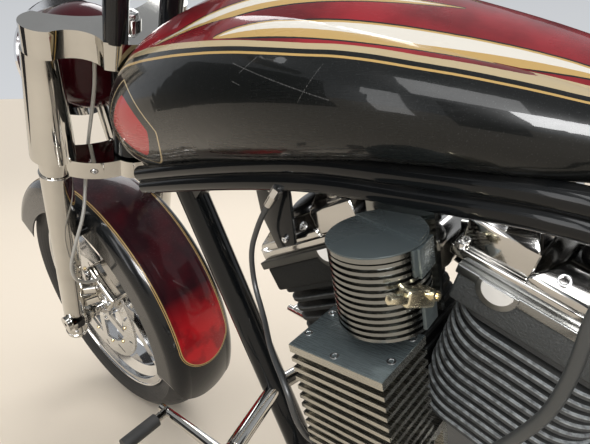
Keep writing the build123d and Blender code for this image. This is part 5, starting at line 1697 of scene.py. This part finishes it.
    def head_cheeks(self) -> None:
        """Rough cheeks on the heads' sides, a satin flange above and its tongue with a bright window; the
        front head's cheeks and flanges are painted darker as shade, and the window's brightness is a painted
        highlight.
        """
        windows = []
        # The front head takes the darker copies, as painted shade
        for side, name, rough, satin in ((-1, "rear_head", Paints.rough_rear, Paints.flange),
                                         (1, "front_head", Paints.rough_front_shaded, Paints.flange_front_shaded)):
            place, middle, cheeks, flanges = MACHINE.bank(side), -side * self.window_along, [], []
            for left in SIDES:
                cheek = Bench.block((-side * 0.006, left * 0.0735, self.cheek_up), (0.170, 0.017, 0.036),
                                    (0.0040, 3))
                flange = Bench.block((-side * 0.004, left * 0.0775, self.flange_up), (0.178, 0.0146, 0.0108))
                tongue = Bench.rod((middle, left * 0.070, self.flange_up),
                                   (middle, left * 0.0862, self.flange_up), 0.0205, None, 64)
                window = Bench.rod((middle, left * 0.0855, self.window_up),
                                   (middle, left * 0.0872, self.window_up), 0.0160, 0.0150, 64)
                for piece, top in ((tongue, self.flange_top), (window, self.window_top)):
                    Bench.cut(piece, (middle, 0, top), UP)
                for piece in (flange, tongue):
                    Bench.soften(piece, 0.0016, 3)
                cheeks += Bench.turned(place, cheek)
                flanges += Bench.turned(place, flange, tongue)
                windows += Bench.turned(place, window)
            self.add(name + "_cheeks", cheeks, rough, "fin_black")
            self.add(name + "_flanges", flanges, satin)
        self.add("head_windows", windows, Paints.window_highlight_paint)

    def rocker_fittings(self) -> None:
        """A ringed socket screw on each deck's chamfer, a round black cap, and a nut on a square washer."""
        rings, screws, caps, washers, nuts = [], [], [], [], []
        for side in SIDES:
            place = MACHINE.bank(side)
            turn = place.to_3x3()
            for left in SIDES:
                spot, way = Vector((-side * 0.010, left * 0.0640, 0.4130)), Vector((0, left * 0.68, 0.73))
                rings += Bench.turned(place, Bench.ring(spot, way, 0.0100, 0.0014))
                screws.append((place @ (spot - way * 0.001), turn @ way))
                spot, way = Vector((-side * 0.081, left * 0.0640, 0.4392)), Vector((0, left * 0.80, 0.59))
                washer = Bench.block((0, 0, 0.0010), (0.022, 0.018, 0.0024), (0.0006,))
                washers += Bench.turned(place @ standing(spot, way), washer)
                nuts.append((place @ (spot + way * 0.0018), turn @ way))
            cap = Bench.rod((side * 0.014, 0.016, 0.408), (side * 0.014, 0.024, 0.440), 0.027, 0.0255, 64,
                            (0.008, 5))
            caps += Bench.turned(place, cap)
        self.add("deck_screw_rings", rings, Paints.engine_chrome)
        self.screws("deck_screws", Screw(0.0062), screws)
        self.add("breather_caps", caps, Paints.cap_black, "grip_rubber")
        self.add("shoulder_washers", washers, Paints.screw)
        self.screws("shoulder_nuts", Screw(0.0062, Head.HEXAGON), nuts, Paints.chrome)

    def plugs(self) -> None:
        """A spark plug with a boot on the right of each head."""
        bodies, boots, out = [], [], Vector((0, -1, 0))
        along, left, up = self.plug
        for side in SIDES:
            root = MACHINE.bank(side) @ Vector((side * along, left, up))
            bodies.append(Bench.rod(root, root + out * 0.020, 0.0095, 0.0080, 6))
            boots.append(Bench.rod(root + out * 0.016, root + out * 0.045, 0.0088, 0.0062, 24, (0.0015,)))
        self.add("spark_plugs", bodies, Paints.screw)
        self.add("plug_boots", boots, Paints.boot, "grip_rubber")

    def cover_screws(self) -> None:
        """Screws round the primary cover, its clutch plate, the cam cover and the air cleaner."""
        crank_x, _, crank_z = MACHINE.crank
        clutch, edge = (self.clutch_x, 0, crank_z), self.primary_face - 0.004
        primary = round_spots((crank_x, 0, crank_z - 0.006), edge, 0.082, 8, 1, -90.0)[:5]
        primary += [((x, edge, crank_z + up), LEFT) for x in (-1.00, -1.08) for up in (0.082, -0.086)]
        primary += round_spots(clutch, edge, 0.086, 8, 1, 90.0)[1:4]
        self.screws("primary_cover_screws", Screw(0.0046), primary)
        plate = round_spots(clutch, self.primary_face + 0.0098, 0.060, 5, 1, 90.0)
        self.screws("clutch_plate_screws", Screw(0.0040), plate)
        right = round_spots(MACHINE.crank, self.cam_face, 0.056, 6, -1, 30.0)
        right += round_spots((crank_x, 0, self.filter_height), self.filter_face, 0.050, 3, -1, 90.0)
        self.screws("right_cover_screws", Screw(0.0046), right)

    def cooler_plate(self) -> None:
        """The cooler's smooth top plate, with flush socket screws."""
        plate = Bench.block((*self.cooler_middle, self.cooler_top + 0.0001), (0.1115, 0.0755, 0.0016),
                            (0.0005,))
        self.add("cooler_top_plate", [plate], Paints.cooler_plate, "cooler_aluminium")
        spots = [((x, y, self.cooler_top - 0.0030), UP) for x, y in self.cooler_spots]
        self.screws("cooler_plate_screws", Screw(0.0046), spots, Paints.screw, "cooler_aluminium")

    def around_drum(self, degrees: float, out: float, up: float) -> Matrix:
        """A place by the drum's wall, with X pointing out, at an angle, a distance and a height."""
        return (Matrix.Translation((*self.drum_centre, up)) @ Matrix.Rotation(math.radians(degrees), 4, "Z")
                @ Matrix.Translation((out, 0, 0)))

    def drum_lid(self) -> None:
        """The drum's two-level lid and the plain plates over its fin ends."""
        x, y = self.drum_centre
        lid = Bench.rod((x, y, 0.7266), (x, y, 0.7286), self.drum_radius + 0.0006, None, 96)
        step = Bench.rod((x, y, 0.7280), (x, y, 0.7312), self.drum_radius - 0.0010, None, 96)
        Bench.cut(step, (x - 0.006, y - 0.009, 0.0), (0.30, 0.95, 0.0))
        for piece in (lid, step):
            Bench.soften(piece, 0.0006)
        self.add("drum_lid_plates", [lid, step], Paints.drum_lid, "cooler_aluminium")
        plates = []
        for degrees, low, high, width in self.drum_walls:
            plate = Bench.block((0, 0, 0), (0.0040, width, high - low), (0.0008,))
            plates += Bench.turned(self.around_drum(degrees, self.drum_radius, (low + high) / 2), plate)
        self.add("drum_plates", plates, Paints.drum_lid, "cooler_aluminium")

    def drum_fitting(self) -> None:
        """The brass fitting on the drum's wall, with its lever and its knob."""
        tilt = Matrix.Rotation(math.radians(-24.0), 4, "X")
        place = self.around_drum(160.0, self.drum_radius + 0.004, 0.6835) @ tilt
        block = Bench.block((0, 0, 0), (0.016, 0.034, 0.017), (0.0032, 3))
        lever = Bench.rod((0.002, -0.012, -0.001), (0.003, -0.034, -0.0015), 0.0062, 0.0048, 6, (0.0008,))
        knob = Bench.rod((0.006, 0.010, 0.004), (0.013, 0.010, 0.006), 0.0052, 0.0046, 24)
        Bench.inset_end(knob, (0.007, 0, 0.002), 0.0020, -0.0040)
        parts = Bench.turned(place, block, lever, knob)
        self.add("drum_fitting", parts, Paints.pale_brass, "cooler_aluminium")

    def hose_ends(self) -> None:
        """Ferrules and hexagon fittings where the cable and the hose end."""
        hexes, sleeves = [], []
        for point, way, radius in self.hose_fittings:
            point, way = Vector(point), Vector(way).normalized()
            hexes.append(Bench.rod(point - way * 0.002, point + way * 0.010, radius * 1.15, None, 6))
            sleeves.append(Bench.rod(point + way * 0.010, point + way * 0.026, radius, radius * 0.9, 24))
        self.add("hose_hexagons", hexes, Paints.screw)
        self.add("hose_sleeves", sleeves, Paints.engine_chrome)

    def coil_bracket(self) -> None:
        """A tapered black plate that hangs from the left rail in front of the forward rocker box."""
        plate = Bench.block((-0.7475, 0.086, 0.700), (0.056, 0.005, 0.110))
        for point, normal in self.bracket_cuts:
            Bench.cut(plate, point, normal)
        Bench.soften(plate, 0.0010)
        self.add("coil_bracket", [plate], Paints.frame_black, "frame_black")
        self.screws("coil_bracket_screws", Screw(0.0042), [(point, LEFT) for point in self.bracket_screws])

    def intake_elbow(self) -> None:
        """A polished elbow between the rocker boxes, a black cap on its neck and a pipe to the intake."""
        body = Bench.rod((-0.912, 0.050, 0.674), (-0.944, 0.050, 0.694), 0.0125, 0.0115, 40, (0.0035, 4))
        neck = Bench.rod((-0.934, 0.050, 0.696), (-0.936, 0.050, 0.709), 0.0070)
        pipe = Bench.rod((-0.925, 0.050, 0.684), (-0.917, -0.012, 0.640), 0.0095)
        self.add("intake_elbow", [body, neck, pipe], Paints.engine_chrome)
        cap = Bench.rod((-0.936, 0.050, 0.708), (-0.937, 0.050, 0.717), 0.0094, 0.0088, 40, (0.0018, 3))
        self.add("elbow_cap", [cap], Paints.cap_black, "grip_rubber")


@dataclass
class Frame(SubAssembly):
    """Finishes of the frame, stand, foot controls and tail, with their nuts, rings and plate screws."""

    # Nuts on each fender strut, as (distance along, height), and their distance from the middle plane
    strut_nuts: tuple[tuple[float, float], ...] = (
        (-1.450, 0.636), (-1.560, 0.634), (-1.700, 0.632), (-1.850, 0.602), (-1.955, 0.548))
    strut_left: float = 0.146
    # The first ring on the left peg, the step to the next, how many, and the peg's rise outward
    peg_ring: Point = (-0.592, 0.202, 0.274)
    peg_step: tuple[float, float] = (0.016, 0.001)
    peg_rings: int = 6
    peg_rise: float = 0.06
    peg_ring_size: tuple[float, float] = (0.0170, 0.0020)
    plate_tilt: float = math.radians(10.0)
    plate_centre: Point = (-2.142, 0.0, 0.3916)
    plate_face: float = 0.002
    plate_screw: tuple[float, float] = (0.070, 0.044)

    body: ClassVar[Body] = Body.CHASSIS
    slot: ClassVar[str] = "engine_chrome"

    def nodes(self) -> dict[str, Finish]:
        """The finish of each CAD node."""
        painted = ("frame_rails", "down_tube", "steering_neck", "lower_cradle", "seat_posts",
                   "rear_frame_tubes", "oil_tank")
        polished = ("fender_struts", "foot_controls", "rear_caliper", "side_stand")
        return {**dict.fromkeys(painted, Paints.frame_black), **dict.fromkeys(polished, Paints.chrome),
                "rear_fender": Paints.rear_fender, "peg_rubbers": Paints.rubber, "tail_lamp": Paints.red_lens,
                "number_plate": Paints.plate}

    def details(self) -> Sequence[Callable[[], None]]:
        """What makes the small parts, in order."""
        return self.nuts, self.rings, self.plate_screws

    def nuts(self) -> None:
        """Domed nuts along both fender struts."""
        spots = [((x, side * self.strut_left, z), (0, side, 0)) for side in SIDES for x, z in self.strut_nuts]
        self.screws("strut_nuts", Screw(0.0075, Head.DOME, washer=0.0100), spots, Paints.chrome)

    def rings(self) -> None:
        """Raised rubber rings along the footpegs."""
        rings, (x, left, up), (outward, upward) = [], self.peg_ring, self.peg_step
        for side in SIDES:
            for index in range(self.peg_rings):
                centre = (x, side * (left + outward * index), up + upward * index)
                rings.append(Bench.ring(centre, (0, 1, self.peg_rise * side), *self.peg_ring_size, 40, 8))
        self.add("peg_rings", rings, Paints.rubber, "grip_rubber")

    def plate_screws(self) -> None:
        """Two screws on the plain number plate."""
        out = Vector((-math.cos(self.plate_tilt), 0.0, math.sin(self.plate_tilt)))
        centre, (left, up) = Vector(self.plate_centre) + out * self.plate_face, self.plate_screw
        spots = [(centre + Vector((0.0, side * left, up)), out) for side in SIDES]
        self.screws("plate_screws", Screw(0.0048, Head.DOME), spots)


@dataclass
class Tank(SubAssembly):
    """The tank's paint, and the polished filler ring and cap."""

    cap_centre: Point = (-0.660, 0.0, 0.968)
    cap_axis: Point = (-0.05, 0.0, 1.0)
    rim_below: float = 0.010
    rim_radius: float = 0.0385
    knob_radius: float = 0.026

    body: ClassVar[Body] = Body.CHASSIS
    slot: ClassVar[str] = "engine_chrome"

    def nodes(self) -> dict[str, Finish]:
        """The finish of each CAD node."""
        return {"fuel_tank": Paints.tank, "filler_cap": Paints.chrome}

    def details(self) -> Sequence[Callable[[], None]]:
        """What makes the small parts, in order."""
        return (self.filler,)

    def filler(self) -> None:
        """The ring and the knob of the filler cap."""
        up, centre = Vector(self.cap_axis).normalized(), Vector(self.cap_centre)
        rim = Bench.ring(centre - up * self.rim_below, up, self.rim_radius, 0.0042, 64)
        self.add("filler_rim", [rim], Paints.chrome)
        knob = Bench.rod(centre - up * 0.001, centre + up * 0.006, self.knob_radius,
                         self.knob_radius - 0.004, 48)
        Bench.inset_end(knob, up, 0.006, -0.002)
        Bench.soften(knob, 0.0015)
        self.add("filler_knob", [knob], Paints.chrome)


@dataclass
class Seat:
    """The leather seat: pressed out from its solid by a cloth simulation, with cross channels in its top."""

    body: Body = Body.CHASSIS
    merge: float = 0.0002
    voxel: float = 0.006
    smoothing: int = 12
    bulge: float = 0.006
    pressure: float = 4.0
    steps: int = 20
    # Height above the underside from which the pad may swell, and over which it gets free
    held: float = 0.010
    freed: float = 0.030
    # The channels' places along the seat, their bow to the sides, and depth and width of channel and crown
    channels: tuple[float, ...] = (-1.235, -1.290, -1.345, -1.400, -1.455, -1.505)
    channel_bow: float = 0.6
    channel: tuple[float, float] = (0.0055, 0.0065)
    crown: tuple[float, float] = (0.0030, 0.014)
    # The top starts at a height, lower behind a place along the seat
    top_from: float = 0.70
    top_drop: float = 0.02
    drop_behind: float = -1.3

    def dress(self) -> None:
        """Make the padded seat from the solid one."""
        source = frame["nodes"]["seat"]
        piece = source.copy()
        piece.data = source.data.copy()
        piece.name = "seat_pad"
        piece.parent = None
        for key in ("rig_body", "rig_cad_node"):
            if key in piece:
                del piece[key]
        bpy.context.scene.collection.objects.link(piece)
        with editing(piece):
            bpy.ops.mesh.remove_doubles(threshold=self.merge)
        Bench.modify(piece, "REMESH", mode="VOXEL", voxel_size=self.voxel)
        Bench.modify(piece, "SMOOTH", factor=0.5, iterations=self.smoothing)
        self.swell(piece)
        self.sew(piece)
        Bench.modify(piece, "SUBSURF", levels=1, render_levels=1)
        piece.data.materials.clear()
        piece.data.materials.append(Paints.leather.build())
        bpy.ops.object.shade_smooth()
        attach(piece, self.body.value)
        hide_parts("seat")
        log.info("%s rides on %s", piece.name, self.body.value)

    def swell(self, piece: Piece) -> None:
        """Press the pad out by a cloth simulation, no further than the bulge, and not at its underside.

        Args:
            piece: The remeshed pad.
        """
        starts = [vertex.co.copy() for vertex in piece.data.vertices]
        heights = [(STANCE.back @ start).z for start in starts]
        cloth = piece.modifiers.new("cloth", "CLOTH")
        cloth.settings.use_pressure = True
        cloth.settings.uniform_pressure_force = self.pressure
        cloth.settings.effector_weights.gravity = 0.0
        cloth.point_cache.frame_start, cloth.point_cache.frame_end = 1, self.steps
        for step in range(1, self.steps + 1):
            bpy.context.scene.frame_set(step)
        bpy.ops.object.modifier_apply(modifier=cloth.name)
        bpy.context.scene.frame_set(1)
        foot = min(heights) + self.held
        for vertex, start, height in zip(piece.data.vertices, starts, heights):
            moved = vertex.co - start
            free = min(1.0, max(0.0, (height - foot) / self.freed))
            vertex.co = start + moved.normalized() * min(moved.length, self.bulge) * free

    def sew(self, piece: Piece) -> None:
        """Press cross channels into the top and let the panels between them crown.

        Args:
            piece: The pad.
        """
        (depth, narrow), (rise, wide) = self.channel, self.crown
        back, forward = STANCE.back, STANCE.matrix
        for vertex in piece.data.vertices:
            spot = back @ vertex.co
            if spot.z < self.top_from - self.top_drop * (spot.x < self.drop_behind):
                continue
            near = min(abs(spot.x - line - self.channel_bow * spot.y * spot.y) for line in self.channels)
            spot.z += rise * (1.0 - math.exp(-(near / wide) ** 2)) - depth * math.exp(-(near / narrow) ** 2)
            vertex.co = forward @ spot


# The floor, the light and the camera


@dataclass
class Studio:
    """A plain pale floor, soft light and the camera at the photograph's place."""

    camera_place: Point = (-1.184, 0.478, 0.941)
    heading: float = math.radians(47.0)
    pitch: float = math.radians(14.0)
    roll: float = math.radians(1.04)
    focal_pixels: float = 520.0
    picture_width: float = 590.0
    sensor: float = 36.0
    nearest: float = 0.02
    floor_colour: Colour = (0.76, 0.665, 0.545)
    floor_size: float = 600.0
    board_colour: Colour = (0.02, 0.02, 0.022)
    # Soft panels, as (centre, aim, width, height, watts, seen in shine alone)
    panels: tuple[tuple[Point, Point, float, float, float, bool], ...] = (
        ((-2.75, 1.65, 2.15), (-1.05, 0.1, 0.8), 1.5, 1.0, 150.0, True),
        ((-1.54, 1.50, 2.95), (-1.0, 0.1, 0.8), 1.3, 1.1, 24.0, True),
        ((-0.6, 2.9, 1.9), (-0.7, 0.0, 0.6), 0.5, 1.8, 12.0, True),
        ((1.2, -2.4, 2.6), (-0.3, 0.0, 0.6), 2.2, 1.4, 40.0, False),
    )
    # The broad light from above, as (where it comes from, strength, spread in degrees)
    sky_light: tuple[Point, float, float] = ((-0.45, 0.55, 1.0), 2.4, 105.0)
    # The room's light, as (height from -1 below to 1 above, brightness), and its tint
    room: tuple[tuple[float, float], ...] = (
        (-1.0, 0.36), (0.0, 0.66), (0.10, 0.62), (0.45, 0.45), (0.75, 0.38), (1.0, 0.36))
    room_tint: Colour = (0.97, 1.0, 1.04)
    # Dark boards that stand round the machine and are seen in its shine alone, as (centre, width, height)
    boards: tuple[tuple[Point, float, float], ...] = (
        ((2.3, 2.3, 1.0), 2.9, 2.4), ((-0.9, 3.0, 1.1), 1.0, 2.2), ((-3.1, 1.3, 1.1), 1.1, 2.2),
        ((-2.6, -2.2, 1.1), 1.5, 2.4), ((0.4, -3.1, 1.1), 1.6, 2.4), ((3.2, -1.0, 1.1), 1.2, 2.4))

    def build(self) -> None:
        """Make the camera, then the floor, the world, the lights and the boards."""
        self.camera()
        self.floor()
        self.world()
        for index, row in enumerate(self.panels):
            self.panel(f"soft_panel_{index}", *row)
        self.broad_light()
        self.dark_boards()
        bpy.context.scene.view_settings.view_transform = "Standard"

    @staticmethod
    def place(name: str, data: bpy.types.ID) -> Piece:
        """A new object in the scene, for a camera or a lamp.

        Args:
            name: Its name.
            data: The camera's or the lamp's data.

        Returns:
            The object.
        """
        item = bpy.data.objects.new(name, data)
        bpy.context.scene.collection.objects.link(item)
        return item

    @staticmethod
    def matt(name: str, colour: Colour, roughness: float, specular: float) -> bpy.types.Material:
        """A plain matt material for the studio.

        Args:
            name: The material's name.
            colour: Its colour.
            roughness: Its roughness.
            specular: Its shine.

        Returns:
            The material.
        """
        material = bpy.data.materials.new(name)
        material.use_nodes = True
        shader = material.node_tree.nodes["Principled BSDF"].inputs
        shader["Base Color"].default_value = (*colour, 1.0)
        shader["Roughness"].default_value = roughness
        shader["Specular IOR Level"].default_value = specular
        return material

    def camera(self) -> None:
        """The camera, turned to the heading, pitched down and rolled."""
        ahead = Vector((math.cos(self.heading), -math.sin(self.heading), 0.0))
        right, down = Vector((-math.sin(self.heading), -math.cos(self.heading), 0.0)), -Vector(UP)
        look = ahead * math.cos(self.pitch) + down * math.sin(self.pitch)
        below = down * math.cos(self.pitch) - ahead * math.sin(self.pitch)
        side = right * math.cos(self.roll) + below * math.sin(self.roll)
        under = below * math.cos(self.roll) - right * math.sin(self.roll)
        data = bpy.data.cameras.new("photo_camera")
        data.sensor_width = self.sensor
        data.lens = self.focal_pixels * self.sensor / self.picture_width
        data.clip_start = self.nearest
        camera = self.place("photo_camera", data)
        turn = Matrix((side, -under, -look)).transposed().to_4x4()
        camera.matrix_world = Matrix.Translation(STANCE.place(self.camera_place)) @ turn
        bpy.context.scene.camera = camera

    def floor(self) -> None:
        """A wide plain floor, seen as pale in reflections too."""
        Bench.clear()
        bpy.ops.mesh.primitive_plane_add(size=self.floor_size)
        floor = bpy.context.object
        floor.name = "studio_floor"
        material = self.matt("studio_floor", self.floor_colour, roughness=0.7, specular=0.2)
        floor.data.materials.append(material)

    def broad_light(self) -> None:
        """One wide soft light for the whole floor, not seen in shine."""
        source, strength, spread = self.sky_light
        data = bpy.data.lights.new("broad_light", "SUN")
        data.energy, data.angle = strength, math.radians(spread)
        lamp = self.place("broad_light", data)
        lamp.rotation_euler = facing(source).to_euler()
        lamp.visible_glossy = False

    def dark_boards(self) -> None:
        """Upright matt black boards that give polished metal its dark bands and cast no shadow."""
        material = self.matt("board_black", self.board_colour, roughness=1.0, specular=0.5)
        for index, (centre, width, height) in enumerate(self.boards):
            Bench.clear()
            bpy.ops.mesh.primitive_plane_add(size=1.0)
            board = bpy.context.object
            board.name = f"dark_board_{index}"
            inward = (-centre[0], -centre[1], 0.0)
            board.matrix_world = standing(centre, inward) @ Matrix.Diagonal((width, height, 1.0, 1.0))
            board.data.materials.append(material)
            board.visible_camera = board.visible_diffuse = board.visible_shadow = False
            board.visible_transmission = False

    def world(self) -> None:
        """A soft pale room, a little darker overhead."""
        world = bpy.data.worlds.new("studio_room")
        bpy.context.scene.world = world
        world.use_nodes = True
        nodes = Nodes(world.node_tree)
        shader = world.node_tree.nodes["Background"].inputs
        up = nodes.split(nodes.result(nodes.add("ShaderNodeTexCoord"), (), "Generated"))[2]
        belt = nodes.add("ShaderNodeValToRGB")
        while len(belt.color_ramp.elements) < len(self.room):
            belt.color_ramp.elements.new(0.5)
        for element, (height, level) in zip(belt.color_ramp.elements, self.room):
            element.position = (height + 1.0) / 2.0
            element.color = (*(level * part for part in self.room_tint), 1.0)
        nodes.feed(shader["Color"], nodes.result(belt, ((0, nodes.ramp(up, -1.0, 1.0)),)))
        shader["Strength"].default_value = 1.0

    def panel(self, name: str, centre: Point, aim: Point, width: float, height: float, watts: float,
              shine_only: bool) -> None:
        """One soft rectangular panel that looks at a point.

        Args:
            name: The lamp's name.
            centre: The panel's middle on the upright machine.
            aim: The point that it looks at.
            width: Its width.
            height: Its height.
            watts: Its power.
            shine_only: Whether it is seen in shine alone and lights nothing.
        """
        data = bpy.data.lights.new(name, "AREA")
        data.shape, data.size, data.size_y, data.energy = "RECTANGLE", width, height, watts
        lamp = self.place(name, data)
        lamp.visible_diffuse = not shine_only
        lamp.location = STANCE.place(centre)
        lamp.rotation_euler = (STANCE.place(aim) - STANCE.place(centre)).to_track_quat("-Z", "Y").to_euler()


def main() -> None:
    """Build the studio and dress the machine, sub-assembly by sub-assembly."""
    logging.basicConfig(level=logging.INFO, format="%(name)s: %(message)s")
    Studio().build()
    wheels = (Wheel("front", Body.FRONT_WHEEL, MACHINE.front_axle, Paints.tyre_front, 0.062, 0.050),
              Wheel("rear", Body.REAR_WHEEL, MACHINE.rear_axle, Paints.tyre_rear, 0.114, 0.103))
    for part in (*wheels, Fork(), Engine(), Frame(), Tank(), Seat()):
        part.dress()


if __name__ == "__main__":
    main()
